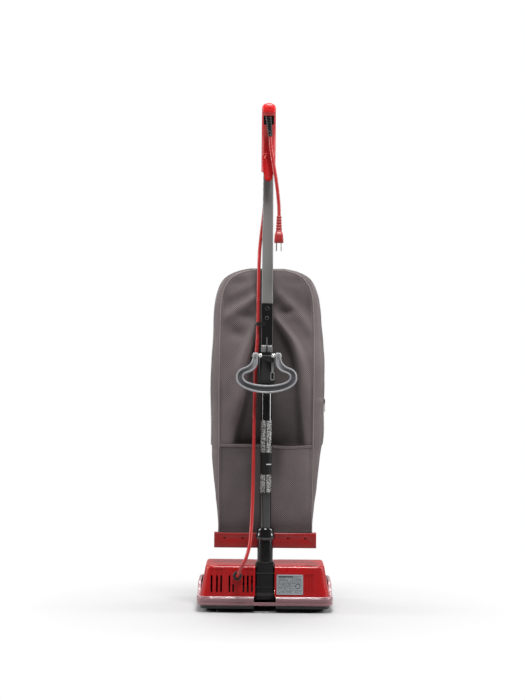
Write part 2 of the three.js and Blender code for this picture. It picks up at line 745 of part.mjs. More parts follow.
function stationRing([y, z, halfWidth, halfDepth], heading, inset) {
  const across = new THREE.Vector3(1, 0, 0);
  const outward = new THREE.Vector3(0, heading.z, -heading.y);
  return squareRing(halfWidth - inset, halfDepth - inset, 2.8, 20, (u, v) =>
    new THREE.Vector3(0, y, z).addScaledVector(across, u).addScaledVector(outward, v),
  );
}

function gripSolid(inset, over) {
  const path = new THREE.CatmullRomCurve3(gripStations.map(([y, z]) => new THREE.Vector3(0, y, z)));
  const last = gripStations.length - 1;
  const steps = 9;
  const rings = Array.from({ length: steps + 1 }, (_, i) => {
    const t = i / steps;
    const station = Math.min(Math.floor(t * last), last - 1);
    const mix = t * last - station;
    const size = [2, 3].map((k) =>
      THREE.MathUtils.lerp(gripStations[station][k], gripStations[station + 1][k], mix),
    );
    const heading = path.getTangent(t);
    const centre = path.getPoint(t);
    if (i === 0) centre.addScaledVector(heading, -over);
    if (i === steps) centre.addScaledVector(heading, over);
    return stationRing([centre.y, centre.z, ...size], heading, inset);
  });
  return loft(rings);
}

const rocker = { z: 1098, halfHeight: 10.5, halfWidth: 5.4 };
const relief = { x: 4, y: -52, top: 1183.5, bottom: 1141 };
const leadGland = { x: -6, y: 20, top: 1084, bottom: 1064 };

function makeGrip() {
  const shell = cut(gripSolid(0, 0), gripSolid(grip.wall, 1));
  const gland = common(
    rodZ(6.5, leadGland.bottom, leadGland.top, leadGland.x, leadGland.y, 24),
    box(-20, 20, 10, 40, 1000, 1200),
  );
  const glandWeb = box(leadGland.x - 4, leadGland.x + 4, 12.5, 18, leadGland.bottom, leadGland.top);
  const hookBoss = rodY(7, hook.rear + hook.thickness + GAP, -12.5, 0, hook.z, 24);
  return cut(
    join(shell, gland, glandWeb, hookBoss),
    box(-rocker.halfWidth - 0.5, rocker.halfWidth + 0.5, 8, 30, rocker.z - 11.5, rocker.z + 11.5),
    rodZ(5.4, relief.top - 12, relief.top + 12, relief.x, relief.y, 20),
    rodY(2.1, hook.rear - 20, -12, 0, hook.z, 16),
  );
}
add(machine, "grip", makeGrip(), material.redPlastic);

// The cap closes the grip's rear end.
function makeGripCap() {
  const end = gripStations.at(-1);
  const rearward = new THREE.Vector3(0, -1, 0);
  const rings = [
    [GAP, 0],
    [9, 0],
    [13.5, 2],
    [16, 5.5],
    [17, 9.5],
  ].map(([along, inset]) => {
    const station = [end[0] - along, end[1], end[2] + 0.5, end[3] + 0.5];
    return stationRing(station, rearward, inset);
  });
  const plug = [
    [-7, 0],
    [GAP + 0.2, 0],
  ].map(([along]) => stationRing([end[0] - along, end[1], end[2], end[3]], rearward, grip.wall + 1.2));
  return join(loft(rings), loft(plug));
}
add(machine, "grip_cap", makeGripCap(), material.redPlastic);

const rockerOutline = outline([
  [-2.4, -8],
  [1.5, -rocker.halfHeight, 0.5],
  [4.6, -rocker.halfHeight, 0.8],
  [2.4, 0, 4],
  [4.6, rocker.halfHeight, 0.8],
  [1.5, rocker.halfHeight, 0.5],
  [-2.4, 8],
]);
const switchRocker = groupAt(machine, 0, 13.5, rocker.z);
add(switchRocker, "switch_rocker", prismX(rockerOutline, -rocker.halfWidth, rocker.halfWidth), material.blackPlastic);

// The upper cord hook is a long tongue that turns on its screw, so that a wound cord drops off.
function makeCordHook() {
  const tongue = outline([
    [-14.5, -4, 3],
    [-7, 8, 7],
    [7, 8, 7],
    [14.5, -4, 3],
    [12, -40, 12],
    [8, hook.bottom - hook.z, 8],
    [-8, hook.bottom - hook.z, 8],
    [-12, -40, 12],
  ]);
  const lip = prismY(plate(7.5, hook.bottom - hook.z + 1, hook.bottom - hook.z + 8, 3), -6, 1);
  return join(prismY(tongue, 0, hook.thickness), lip, rodY(5.5, -2, 1, 0, 0, 24), rodY(2, 0, 16, 0, 0, 16));
}
const cordHook = groupAt(machine, 0, hook.rear, hook.z);
add(cordHook, "cord_hook", makeCordHook(), material.redPlastic);

// ---------------------------------------------------------------- cords

const ribbed = (top, bottom, wide, narrow, ribs) => {
  const profile = [[0, top]];
  for (let i = 0; i <= 2 * ribs; i++) {
    const t = i / (2 * ribs);
    const radius = THREE.MathUtils.lerp(wide, narrow, t) - (i % 2 ? 1 : 0);
    profile.push([radius, THREE.MathUtils.lerp(top, bottom, t)]);
  }
  profile.push([0, bottom]);
  return turned(profile.reverse(), 16);
};

const reliefSolid = cut(
  join(ribbed(relief.top - 2, relief.bottom, 7.6, 5.6, 8), rodZ(5, relief.top - 4, relief.top + 6, 0, 0, 20)),
  rodZ(cord.radius + 0.15, relief.bottom - 1, relief.bottom + 6, 0, 0, 20),
);
add(machine, "strain_relief", reliefSolid, material.rubber, [relief.x, relief.y, 0]);

// The power cord is a short pigtail that hangs from the strain relief to its plug.
const powerCordRoute = [
  [4, -52, 1146],
  [4, -52, 1134],
  [4.6, -52, 1122],
  [6, -52.2, 1110],
  [8, -52.4, 1097],
  [10.3, -52.6, 1084],
  [12.7, -52.8, 1071],
  [15, -53, 1058],
  [17.2, -53, 1045],
  [19.2, -53, 1032],
  [21, -52.8, 1019],
  [22.6, -52.6, 1006],
  [24, -52.3, 993],
  [25.2, -52.1, 980],
  [26, -52, 967],
  [26.2, -52, 954.5],
  [26.2, -52, 946],
];
add(machine, "power_cord", sweep(powerCordRoute, cord.radius, 4, 30), material.redRubber);

const plugAt = { x: 26.2, y: -52, top: 952, shoulder: 912, face: 887 };
const plugBody = cut(
  join(
    ribbed(plugAt.top, plugAt.shoulder - 1, 5.8, 7.6, 6),
    prismZ(plate(11, -12, 12, 5), plugAt.face, plugAt.shoulder),
  ),
  rodZ(cord.radius + 0.15, plugAt.top - 7, plugAt.top + 1, 0, 0, 20),
);
add(machine, "plug", plugBody, material.redRubber, [plugAt.x, plugAt.y, 0]);

// Two blades and a ground pin stand on one carrier at the plug's face.
const plugPins = join(
  prismZ(plate(8, -9, 9, 3), plugAt.face - GAP - 1, plugAt.face - GAP),
  box(-3.1, 3.1, -7.1, -5.6, plugAt.face - 17, plugAt.face - GAP),
  box(-3.1, 3.1, 5.6, 7.1, plugAt.face - 17, plugAt.face - GAP),
  rodZ(2.4, plugAt.face - 20, plugAt.face - GAP, -5.5, 0, 16),
);
add(machine, "plug_pins", plugPins, material.brass, [plugAt.x, plugAt.y, 0]);

// The motor lead leaves the grip, runs down the left of the tube and loops back to its grommet.
const leadRoute = [
  [leadGland.x, leadGland.y, leadGland.bottom - GAP],
  [-6, 20, 1046],
  [-6.4, 19.8, 1020],
  [-8, 19, 990],
  [-11, 17.5, 955],
  [-15.5, 14, 915],
  [-19, 9, 880],
  [-20.5, 5, 845],
  [-21.3, 2, 800],
  [-21.8, 0, 750],
  [-22, -1, 700],
  [-23, -2, 655],
  [-25.5, -3, 620],
  [-27, -4, 580],
  [-28, -5, 530],
  [-29, -6, 470],
  [-29.5, -7.2, 400],
  [-30, -10.5, 335],
  [-31, -18, 280],
  [-32.3, -29, 235],
  [-34.2, -42.5, 198],
  [-37, -56, 166.5],
  [-46.3, -70.3, 133.3],
  [-51.1, -72.3, 123.7],
  [-55.8, -71.1, 113.9],
  [-60, -66.8, 104.8],
  [-63.2, -59.7, 97.1],
  [-65.3, -50.5, 91.6],
  [-66, -40, 88.7],
  [-66, -35, 88],
];
add(machine, "motor_lead", sweep(leadRoute, cord.radius, 4, 66), material.redRubber);

// The clip snaps round the lead and is held by the bracket plate.
const leadClip = { x: -22, y: -1, z: 694 };
const clipSolid = cut(
  join(
    rodZ(6.6, -4.2, 4.2, leadClip.x, leadClip.y, 24),
    box(leadClip.x, -14.6, -15, leadClip.y - 3, -4.2, 4.2),
    box(leadClip.x, -4, -15, -13.3, -4.2, 4.2),
  ),
  rodZ(cord.radius + 0.4, -9, 9, leadClip.x, leadClip.y, 24),
);
add(machine, "lead_clip", clipSolid, material.blackPlastic, [0, 0, leadClip.z]);

// ---------------------------------------------------------------- bag

// Each station is [z, half width, rear, front].
const bagStations = [
  [165, 117, 34.5, 41.5],
  [192, 114, 31, 48],
  [210, 114, 25, 66],
  [246, 119, 21, 100],
  [323, 127.5, 20, 128],
  [400, 132, 20, 141],
  [470, 136.5, 20, 147],
  [554, 140.5, 20, 150],
  [650, 134.5, 20, 148],
  [727, 128.5, 20.5, 143],
  [766, 122.5, 22, 136],
  [788, 116, 25, 129],
  [806, 102, 31, 120],
  [821, 80, 40, 108],
  [832, 50, 52, 94],
];

// A bag's skin over its stations, drawn in by the given amount.
function bagSolid(stations, inset, power, count = 24) {
  const last = stations.length - 1;
  const rings = stations.map(([z, halfWidth, rear, front], i) => {
    const level = z + (i === 0 ? inset : 0) - (i === last ? inset : 0);
    const middle = (rear + front) / 2;
    return squareRing(halfWidth - inset, (front - rear) / 2 - inset, power, count, (x, y) =>
      new THREE.Vector3(x, middle + y, level),
    );
  });
  return loft(rings);
}

const bagInlet = () => rodY(15.5, 5, 60, 0, dock.spout, 24);
const outerBag = cut(bagSolid(bagStations, 0, 5), bagSolid(bagStations, 1.2, 5), bagInlet());
add(machine, "outer_bag", outerBag, material.bagCloth);

const paperStations = [
  [222, 60, 44, 62],
  [300, 92, 31, 100],
  [420, 104, 27, 122],
  [590, 108, 26.5, 130],
  [700, 100, 28, 126],
  [765, 78, 38, 112],
  [785, 40, 60, 90],
];
const paperBag = cut(
  join(bagSolid(paperStations, 0, 4, 16), prismY(plate(40, dock.spout - 40, dock.spout + 40, 6), 26.4, 29)),
  bagSolid(paperStations, 1, 4, 16),
  bagInlet(),
);
add(machine, "paper_bag", paperBag, material.paper);

// The clip is a channel that slides over the bag's folded foot.
function makeBagClip() {
  const bar = prismX(
    outline([
      [clip.rear, clip.bottom, 4],
      [clip.front, clip.bottom, 8],
      [clip.front - 2, clip.top, 4],
      [clip.rear + 2, clip.top, 4],
    ]),
    -clip.halfWidth,
    clip.halfWidth,
  );
  const channel = box(-118.5, 118.5, clip.rear + 4, clip.front - 3, clip.floor, clip.top + 5);
  const holes = [-99, -55, 55, 97].map((x) => rodY(2.3, clip.rear - 2, clip.rear + 6, x, 174, 16));
  return cut(bar, channel, ...holes);
}
add(machine, "bag_clip", makeBagClip(), material.redPlastic);

// The zip's slider rides on the bag's right side.
const slider = join(box(-1.6, 1.6, -4, 4, -6, 6), box(-0.2, 1.2, -3, 3, -26, -4));
add(groupAt(machine, 143, 86, 506), "zip_slider", slider, material.blackPlastic);

// ---------------------------------------------------------------- the whole machine

// The origin is on the floor, under the middle of the machine without its cords.
machine.position.set(0, -(base.front + Math.min(base.rear, gripStations.at(-1)[0] - 17)) / 2, 0);

export default machine;
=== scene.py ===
# The looks of an upright vacuum cleaner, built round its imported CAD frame.
# Metres, +Z up. The operator stands at -Y, and +X is the operator's right.

import json
import math
from functools import partialmethod

import bmesh
import bpy
from mathutils import Matrix, Vector, noise


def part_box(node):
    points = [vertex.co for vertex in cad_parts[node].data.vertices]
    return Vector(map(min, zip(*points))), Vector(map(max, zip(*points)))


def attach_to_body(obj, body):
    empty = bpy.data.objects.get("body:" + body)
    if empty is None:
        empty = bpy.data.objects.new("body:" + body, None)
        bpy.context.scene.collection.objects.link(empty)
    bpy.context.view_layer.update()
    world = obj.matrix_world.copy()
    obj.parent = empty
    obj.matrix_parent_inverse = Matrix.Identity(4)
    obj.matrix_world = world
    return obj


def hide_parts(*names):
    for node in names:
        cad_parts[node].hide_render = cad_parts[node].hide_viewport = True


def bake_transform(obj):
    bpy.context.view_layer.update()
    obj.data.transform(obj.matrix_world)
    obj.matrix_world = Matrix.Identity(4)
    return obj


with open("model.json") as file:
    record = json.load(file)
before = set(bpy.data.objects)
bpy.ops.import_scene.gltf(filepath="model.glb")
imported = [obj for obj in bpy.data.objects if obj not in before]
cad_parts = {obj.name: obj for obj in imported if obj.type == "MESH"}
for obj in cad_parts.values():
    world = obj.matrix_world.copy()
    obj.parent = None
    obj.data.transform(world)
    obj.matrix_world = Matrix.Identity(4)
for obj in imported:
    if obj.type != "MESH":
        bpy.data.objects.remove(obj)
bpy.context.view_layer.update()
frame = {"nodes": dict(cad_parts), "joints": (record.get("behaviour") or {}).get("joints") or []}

JOINTS = {joint["name"]: joint for joint in frame["joints"]}
NODES = frame["nodes"]
MM = 0.001
TILT_Y = JOINTS["handle_tilt"]["pos_m"][1]  # the drawing's y = 0 is the tilt axis


def at(x, y, z):
    """A point of the CAD drawing, in millimetres from the tilt axis, as metres in the row frame."""
    return Vector((x * MM, y * MM + TILT_Y, z * MM))


# ---------------------------------------------------------------- camera


def make_camera():
    """A long lens at the height of the bag, square to the machine's rear."""
    data = bpy.data.cameras.new("camera")
    data.lens = 95.8
    camera = bpy.data.objects.new("camera", data)
    camera.location = (-0.0105, -4.5825, 0.631)
    camera.rotation_euler = (math.radians(90), math.radians(-0.5), 0)
    bpy.context.scene.collection.objects.link(camera)
    bpy.context.scene.camera = camera


make_camera()

# ---------------------------------------------------------------- mesh tools


def new_piece(name, verts, faces, material, smooth=40):
    """A mesh object whose faces all look outwards."""
    mesh = bpy.data.meshes.new(name)
    mesh.from_pydata([tuple(v) for v in verts], [], faces)
    shape = bmesh.new()
    shape.from_mesh(mesh)
    bmesh.ops.remove_doubles(shape, verts=shape.verts, dist=1e-6)
    bmesh.ops.recalc_face_normals(shape, faces=shape.faces)
    shape.to_mesh(mesh)
    shape.free()
    mesh.materials.append(material)
    mesh.shade_smooth()
    mesh.set_sharp_from_angle(angle=math.radians(smooth))
    piece = bpy.data.objects.new(name, mesh)
    bpy.context.scene.collection.objects.link(piece)
    return piece


def attach(piece, body, slot, *replaced):
    """Puts a finished piece on its body and hides the CAD nodes it stands for. The slot is not used."""
    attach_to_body(piece, body)
    if replaced:
        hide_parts(*replaced)
    return piece


def place(name, shape, body, slot, *replaced, look=None, smooth=40):
    """A finished piece from (vertices, faces), in its slot's own look unless another is given."""
    return attach(new_piece(name, *shape, look or LOOKS[slot], smooth), body, slot, *replaced)


def add_modifier(piece, kind, **settings):
    modifier = piece.modifiers.new(kind.lower(), kind)
    for key, value in settings.items():
        setattr(modifier, key, value)
    return modifier


def baked(piece):
    """Writes the piece's modifiers into its mesh."""
    shaped = piece.evaluated_get(bpy.context.evaluated_depsgraph_get())
    mesh = bpy.data.meshes.new_from_object(shaped)
    piece.modifiers.clear()
    piece.data = mesh
    return piece


def bevelled(piece, width, segments=3, angle=30):
    """Rounds the sharp edges, by a width in millimetres."""
    add_modifier(
        piece,
        "BEVEL",
        width=width * MM,
        segments=segments,
        limit_method="ANGLE",
        angle_limit=math.radians(angle),
        use_clamp_overlap=True,
        harden_normals=False,
    )
    return baked(piece)


def carved(piece, *cutters):
    """Cuts closed pieces out of a piece, and removes them."""
    for cutter in cutters:
        add_modifier(piece, "BOOLEAN", operation="DIFFERENCE", object=cutter, solver="EXACT")
    baked(piece)
    for cutter in cutters:
        bpy.data.objects.remove(cutter)
    piece.data.shade_smooth()
    piece.data.set_sharp_from_angle(angle=math.radians(35))
    return piece


def skin(rings, caps=True, loop=False, closed=True):
    """Vertices and faces over rings of points that all have the same number of points."""
    count = len(rings[0])
    verts = [point for ring in rings for point in ring]
    faces = []
    for row in range(len(rings) if loop else len(rings) - 1):
        a = row * count
        b = (row + 1) % len(rings) * count
        for i in range(count if closed else count - 1):
            j = (i + 1) % count
            faces.append((a + i, a + j, b + j, b + i))
    if caps and not loop:
        faces.append(tuple(reversed(range(count))))
        faces.append(tuple(range(len(verts) - count, len(verts))))
    return verts, faces


def merged(*parts):
    """Several lists of vertices and faces as one."""
    verts, faces = [], []
    for part_verts, part_faces in parts:
        base = len(verts)
        verts += part_verts
        faces += [tuple(base + i for i in face) for face in part_faces]
    return verts, faces


def rounded(corners, steps=6):
    """A closed outline of (a, b, radius) corners, each turned in a smooth curve."""
    points = []
    count = len(corners)
    for i, (a, b, radius) in enumerate(corners):
        here = Vector((a, b))
        if radius <= 0:
            points.append(here)
            continue
        before = (Vector(corners[i - 1][:2]) - here).normalized()
        after = (Vector(corners[(i + 1) % count][:2]) - here).normalized()
        reach = radius / math.tan(before.angle(after) / 2)
        start, end = here + before * reach, here + after * reach
        for k in range(steps + 1):
            t = k / steps
            points.append(start * (1 - t) ** 2 + here * 2 * t * (1 - t) + end * t * t)
    return points


def rectangle(half_a, low, high, radius, steps=6):
    """A rounded rectangle: its half width, its lowest and highest level and its corners' radius."""
    return rounded(
        [(-half_a, low, radius), (half_a, low, radius), (half_a, high, radius), (-half_a, high, radius)],
        steps,
    )


PLACES = {
    "X": lambda a, b, c: at(c, a, b),
    "Y": lambda a, b, c: at(a, c, b),
    "Z": lambda a, b, c: at(a, b, c),
}


def prism(outline, axis, low, high):
    """An outline in the plane square to an axis, pulled from low to high."""
    locate = PLACES[axis]
    return skin([[locate(p[0], p[1], level) for p in outline] for level in (low, high)])


def turned(profile, axis, centre, sides=64, loop=True):
    """A profile of (radius, along) points turned round an axis through a centre, in drawing millimetres."""
    rings = []
    for radius, along in profile:
        ring = []
        for i in range(sides):
            angle = 2 * math.pi * i / sides
            a, b = radius * math.cos(angle), radius * math.sin(angle)
            x, y, z = {"X": (along, a, b), "Y": (a, along, b), "Z": (a, b, along)}[axis]
            ring.append(at(centre[0] + x, centre[1] + y, centre[2] + z))
        rings.append(ring)
    return skin(rings, caps=not loop, loop=loop)


def smooth_path(points, per_span=6):
    """A centripetal Catmull-Rom curve through the points."""
    ends = [points[0] * 2 - points[1], *points, points[-1] * 2 - points[-2]]
    path = []
    for p0, p1, p2, p3 in zip(ends, ends[1:], ends[2:], ends[3:]):
        t1 = (p1 - p0).length ** 0.5
        t2 = t1 + (p2 - p1).length ** 0.5
        t3 = t2 + (p3 - p2).length ** 0.5
        for k in range(per_span):
            t = t1 + (t2 - t1) * k / per_span
            a1 = p0 * ((t1 - t) / t1) + p1 * (t / t1)
            a2 = p1 * ((t2 - t) / (t2 - t1)) + p2 * ((t - t1) / (t2 - t1))
            a3 = p2 * ((t3 - t) / (t3 - t2)) + p3 * ((t - t2) / (t3 - t2))
            b1 = a1 * ((t2 - t) / t2) + a2 * (t / t2)
            b2 = a2 * ((t3 - t) / (t3 - t1)) + a3 * ((t - t1) / (t3 - t1))
            path.append(b1 * ((t2 - t) / (t2 - t1)) + b2 * ((t - t1) / (t2 - t1)))
    path.append(points[-1].copy())
    return path


def heading_at(path, i):
    """The direction of an open path at one of its points."""
    return (path[min(i + 1, len(path) - 1)] - path[max(i - 1, 0)]).normalized()


def sweep(path, section, loop=False):
    """A section of (across, up) points in metres carried along a path. Up starts as near +Y as it can."""
    rings = []
    count = len(path)
    up = Vector((0, 1, 0))
    for i, point in enumerate(path):
        heading = (path[(i + 1) % count] - path[i - 1]).normalized() if loop else heading_at(path, i)
        up = (up - heading * heading.dot(up)).normalized()
        across = heading.cross(up)
        rings.append([point + across * a + up * b for a, b in section])
    return skin(rings, loop=loop)


def circle(radius, sides=16):
    """A round section, its radius in millimetres."""
    return [
        (radius * MM * math.cos(2 * math.pi * i / sides), radius * MM * math.sin(2 * math.pi * i / sides))
        for i in range(sides)
    ]


def mix(a, b, t):
    """A value between two others."""
    return a + (b - a) * t


def table(rows, z, column):
    """The value of a column at height z, on a smooth curve through the rows of a table."""
    last = len(rows) - 1
    z = min(max(z, rows[0][0]), rows[last][0])
    row = max(i for i in range(last) if rows[i][0] <= z)

    def slope(i):
        low, high = rows[max(i - 1, 0)], rows[min(i + 1, last)]
        return (high[column] - low[column]) / (high[0] - low[0])

    span = rows[row + 1][0] - rows[row][0]
    t = (z - rows[row][0]) / span
    ease = t * t * (3 - 2 * t)
    tangents = t * (t - 1) ** 2 * slope(row) + t * t * (t - 1) * slope(row + 1)
    return mix(rows[row][column], rows[row + 1][column], ease) + tangents * span


def smoothstep(low, high, value):
    """A soft rise from nought at low to one at high."""
    t = min(max((value - low) / (high - low), 0), 1)
    return t * t * (3 - 2 * t)


def between(value, start, full, fall, end):
    """Nought up to the start, one from full to fall, and nought again from the end on."""
    return smoothstep(start, full, value) * (1 - smoothstep(fall, end, value))


def bell(value, centre, width):
    """A round bump of height 1."""
    return math.exp(-(((value - centre) / width) ** 2))


def noise_at(a, b, c):
    """Smooth noise between about -1 and 1."""
    return noise.noise(Vector((a, b, c)))


# ---------------------------------------------------------------- material tools


class Paint:
    """A node material that is written as nested calls."""

    def __init__(self, name):
        self.material = bpy.data.materials.new(name)
        self.material.use_nodes = True
        self.tree = self.material.node_tree
        self.surface = self.tree.nodes["Principled BSDF"]
        self.place = self.add("TexCoord").outputs["Object"]

    def add(self, kind, inputs=None, **settings):
        made = self.tree.nodes.new("ShaderNode" + kind)
        for key, value in settings.items():
            setattr(made, key, value)
        for key, value in (inputs or {}).items():
            self.put(made, key, value)
        return made

    def put(self, made, key, value):
        socket = made.inputs[key]
        if isinstance(value, bpy.types.NodeSocket):
            self.tree.links.new(value, socket)
        else:
            socket.default_value = value

    def set(self, **inputs):
        for key, value in inputs.items():
            self.put(self.surface, key.replace("_", " "), value)
        return self

    def scaled(self, x, y, z):
        """The object's own place, stretched by a factor along each axis."""
        return self.add("Mapping", {"Vector": self.place, "Scale": (x, y, z)}).outputs["Vector"]

    def noise(self, scale, detail=3, rough=0.55, place=None, distortion=0):
        inputs = {
            "Vector": place or self.place,
            "Scale": scale,
            "Detail": detail,
            "Roughness": rough,
            "Distortion": distortion,
        }
        return self.add("TexNoise", inputs).outputs["Fac"]

    def math(self, operation, a, b=0.0, c=0.0):
        return self.add("Math", {0: a, 1: b, 2: c}, operation=operation).outputs[0]

    plus = partialmethod(math, "ADD")
    minus = partialmethod(math, "SUBTRACT")
    times = partialmethod(math, "MULTIPLY")
    below = partialmethod(math, "LESS_THAN")
    above = partialmethod(math, "GREATER_THAN")
    magnitude = partialmethod(math, "ABSOLUTE")
    floor = partialmethod(math, "FLOOR")

    def within(self, value, centre, reach):
        """One where a value lies within a reach of a centre, and nought elsewhere."""
        return self.below(self.magnitude(self.minus(value, centre)), reach)

    def cells(self, a, b):
        """A random value for each whole cell of two coordinates."""
        cell = self.add("CombineXYZ", {"X": self.floor(a), "Y": self.floor(b)}).outputs["Vector"]
        return self.add("TexWhiteNoise", {"Vector": cell}, noise_dimensions="2D").outputs["Value"]

    def spread(self, value, low, high, to_low=0.0, to_high=1.0):
        """A value mapped from one range to another, held at its ends."""
        inputs = {"Value": value, 1: low, 2: high, 3: to_low, 4: to_high}
        return self.add("MapRange", inputs).outputs["Result"]

    def blend(self, factor, first, second):
        """A colour mixed from two colours."""
        made = self.add("Mix", {"Factor": factor}, data_type="RGBA")
        colours = [socket for socket in made.inputs if socket.type == "RGBA"]
        for socket, value in zip(colours, (first, second)):
            if isinstance(value, bpy.types.NodeSocket):
                self.tree.links.new(value, socket)
            else:
                socket.default_value = value
        return next(socket for socket in made.outputs if socket.type == "RGBA")

    def bump(self, height, distance, strength=1.0, under=None):
        """A bump in millimetres, over another bump if one is given."""
        inputs = {"Height": height, "Distance": distance * MM, "Strength": strength}
        if under:
            inputs["Normal"] = under
        return self.add("Bump", inputs).outputs["Normal"]


def rgb(red, green, blue, lift=1.0):
    """A colour given as sRGB values of 0 to 255, as the linear colour that shaders take."""

    def linear(value):
        share = value / 255
        return share / 12.92 if share <= 0.04045 else ((share + 0.055) / 1.055) ** 2.4

    return (linear(red) * lift, linear(green) * lift, linear(blue) * lift, 1.0)


def moulded(name, colour, dark, rough=0.32, grain=0.02, coat=0.0, mottle=14.0):
    """Moulded plastic: slow colour drift, a fine spark-eroded grain, faint scuffs and uneven gloss."""
    paint = Paint(name)
    drift = paint.spread(paint.noise(mottle, 4), 0.35, 0.7)
    scuffs = paint.noise(95, 5, 0.7, paint.scaled(1, 1, 0.25), 0.6)
    scuffed = paint.spread(scuffs, 0.62, 0.72)
    grainy = paint.noise(1500, 2, 0.5)
    ripple = paint.noise(9, 1)
    gloss = paint.spread(drift, 0, 1, rough - 0.04, rough + 0.06)
    paint.set(
        Base_Color=paint.blend(drift, colour, dark),
        Roughness=paint.plus(gloss, paint.times(scuffed, 0.06)),
        Normal=paint.bump(grainy, grain, 1.0, paint.bump(ripple, 0.1, 0.3)),
        Coat_Weight=coat,
        Coat_Roughness=0.12,
    )
    return paint.material


def metal(name, colour, dark, rough=0.25, brushed=(1, 1, 0.03), amount=0.015):
    """Bare or plated metal with fine lines along one axis and slight tarnish."""
    paint = Paint(name)
    lines = paint.noise(2600, 3, 0.6, paint.scaled(*brushed))
    tarnish = paint.spread(paint.noise(60, 5, 0.65), 0.4, 0.75)
    gloss = paint.spread(lines, 0.3, 0.7, rough - 0.05, rough + 0.07)
    paint.set(
        Base_Color=paint.blend(tarnish, colour, dark),
        Metallic=1.0,
        Roughness=paint.plus(gloss, paint.times(tarnish, 0.12)),
        Normal=paint.bump(lines, amount),
    )
    return paint.material


def make_cloth(name, light, dark, weave=1.0):
    """Twill: ribs that run on the diagonal, threads across them, slubs and a soft nap."""
    paint = Paint(name)
    split = paint.add("SeparateXYZ", {"Vector": paint.place})
    x, y, z = (split.outputs[axis] for axis in "XYZ")
    facing = paint.add("SeparateXYZ", {"Vector": paint.add("TexCoord").outputs["Normal"]})
    sideways, upwards = (
        paint.spread(paint.magnitude(facing.outputs[axis]), 0.66, 0.76) for axis in "XZ"
    )
    wander = paint.times(paint.minus(paint.noise(35, 2), 0.5), 0.003)

    def twill(u, v):
        """Ribs and threads of cloth that lies in the plane of two directions."""
        mirrored = paint.magnitude(u)
        along = paint.plus(paint.plus(mirrored, v), wander)
        across = paint.minus(v, mirrored)
        ribs = paint.math("SINE", paint.times(along, 2 * math.pi / (0.0056 * weave)))
        threads = paint.math("SINE", paint.times(across, 2 * math.pi / (0.0048 * weave)))
        return paint.math("MULTIPLY_ADD", paint.math("MULTIPLY_ADD", threads, 0.35, ribs), 0.37, 0.5)

    def chosen(first, second, share):
        rest = paint.minus(1.0, share)
        return paint.math("MULTIPLY_ADD", second, share, paint.times(first, rest))

    weave_height = chosen(chosen(twill(x, z), twill(y, z), sideways), twill(x, y), upwards)
    slubs = paint.noise(420, 4, 0.7, paint.scaled(1, 1, 0.35))
    drift = paint.noise(9, 3)
    weight = paint.math("MULTIPLY_ADD", weave_height, 0.78, paint.times(slubs, 0.2))
    weight = paint.plus(weight, paint.spread(drift, 0.3, 0.7, -0.12, 0.12))
    fibre = paint.noise(1900, 3, 0.7)
    # Painted shade: the share written on the mesh darkens the cloth towards a near-black brown.
    painted_shade = paint.add("Attribute", attribute_name="painted_shade").outputs["Fac"]
    shade_paint = paint.times(painted_shade, paint.spread(slubs, 0.3, 0.7, 0.85, 1.0))
    paint.set(
        Base_Color=paint.blend(shade_paint, paint.blend(weight, dark, light), rgb(26, 23, 24)),
        Roughness=paint.spread(slubs, 0.3, 0.7, 0.78, 0.95),
        Normal=paint.bump(fibre, 0.05, 0.8, paint.bump(weave_height, 0.3, 0.9)),
        Sheen_Weight=0.06,
        Sheen_Roughness=0.45,
        Sheen_Tint=(0.9, 0.82, 0.82, 1),
        Specular_IOR_Level=0.25,
    )
    return paint.material


def make_label():
    """A printed rating plate: a frame, rows of short plain bars and an empty round mark."""
    paint = Paint("label_print")
    low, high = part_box("rating_plate")
    split = paint.add("SeparateXYZ", {"Vector": paint.place})
    u = paint.spread(split.outputs["X"], low.x, high.x)
    v = paint.spread(split.outputs["Z"], low.z, high.z)
    row = paint.times(v, 15)
    words = paint.below(paint.cells(paint.times(u, 26), row), 0.68)
    printed = paint.times(paint.within(paint.math("FRACT", row), 0.5, 0.17), words)
    inside = paint.within(u, 0.5, 0.43)
    bars = paint.times(paint.times(printed, inside), paint.within(v, 0.5, 0.45))
    heading = paint.times(paint.above(v, 0.86), paint.below(u, 0.62))
    bold = paint.times(heading, paint.times(inside, paint.below(v, 0.93)))
    du = paint.times(paint.minus(u, 0.8), 1.33)
    dv = paint.minus(v, 0.42)
    reach = paint.math("SQRT", paint.plus(paint.times(du, du), paint.times(dv, dv)))
    ring = paint.within(reach, 0.11, 0.018)
    clear = paint.above(reach, 0.15)
    ink = paint.math("MAXIMUM", paint.times(paint.math("MAXIMUM", bars, bold), clear), ring)
    sheen = paint.noise(1800, 2, 0.5, paint.scaled(0.05, 1, 1))
    silver = paint.blend(sheen, rgb(176, 180, 184), rgb(150, 155, 160))
    paint.set(
        Base_Color=paint.blend(ink, silver, rgb(52, 54, 60)),
        Metallic=paint.times(paint.minus(1.0, ink), 0.55),
        Roughness=0.38,
        Normal=paint.bump(sheen, 0.01),
    )
    return paint.material


TUBE_LABEL = {"low": 287, "high": 461, "inside": 13.45, "outside": 13.62, "reach": 74}


def make_tube_print():
    """Printed film on the lower tube: two columns of plain flecks, broken by a dark band with a dash."""
    paint = Paint("tube_print")
    split = paint.add("SeparateXYZ", {"Vector": paint.place})
    x, z = split.outputs["X"], split.outputs["Z"]
    flecks = paint.below(paint.cells(paint.times(x, 1300), paint.times(z, 900)), 0.38)
    gutter = paint.above(paint.magnitude(x), 0.0013)
    band = paint.above(paint.magnitude(paint.minus(z, 0.357)), 0.0265)
    columns = paint.times(paint.times(gutter, band), flecks)
    dash = paint.times(paint.within(z, 0.3555, 0.0012), paint.above(x, 0.001))
    paint.set(
        Base_Color=paint.blend(paint.math("MAXIMUM", columns, dash), rgb(9, 9, 10), rgb(186, 186, 184)),
        Roughness=0.3,
    )
    return paint.material


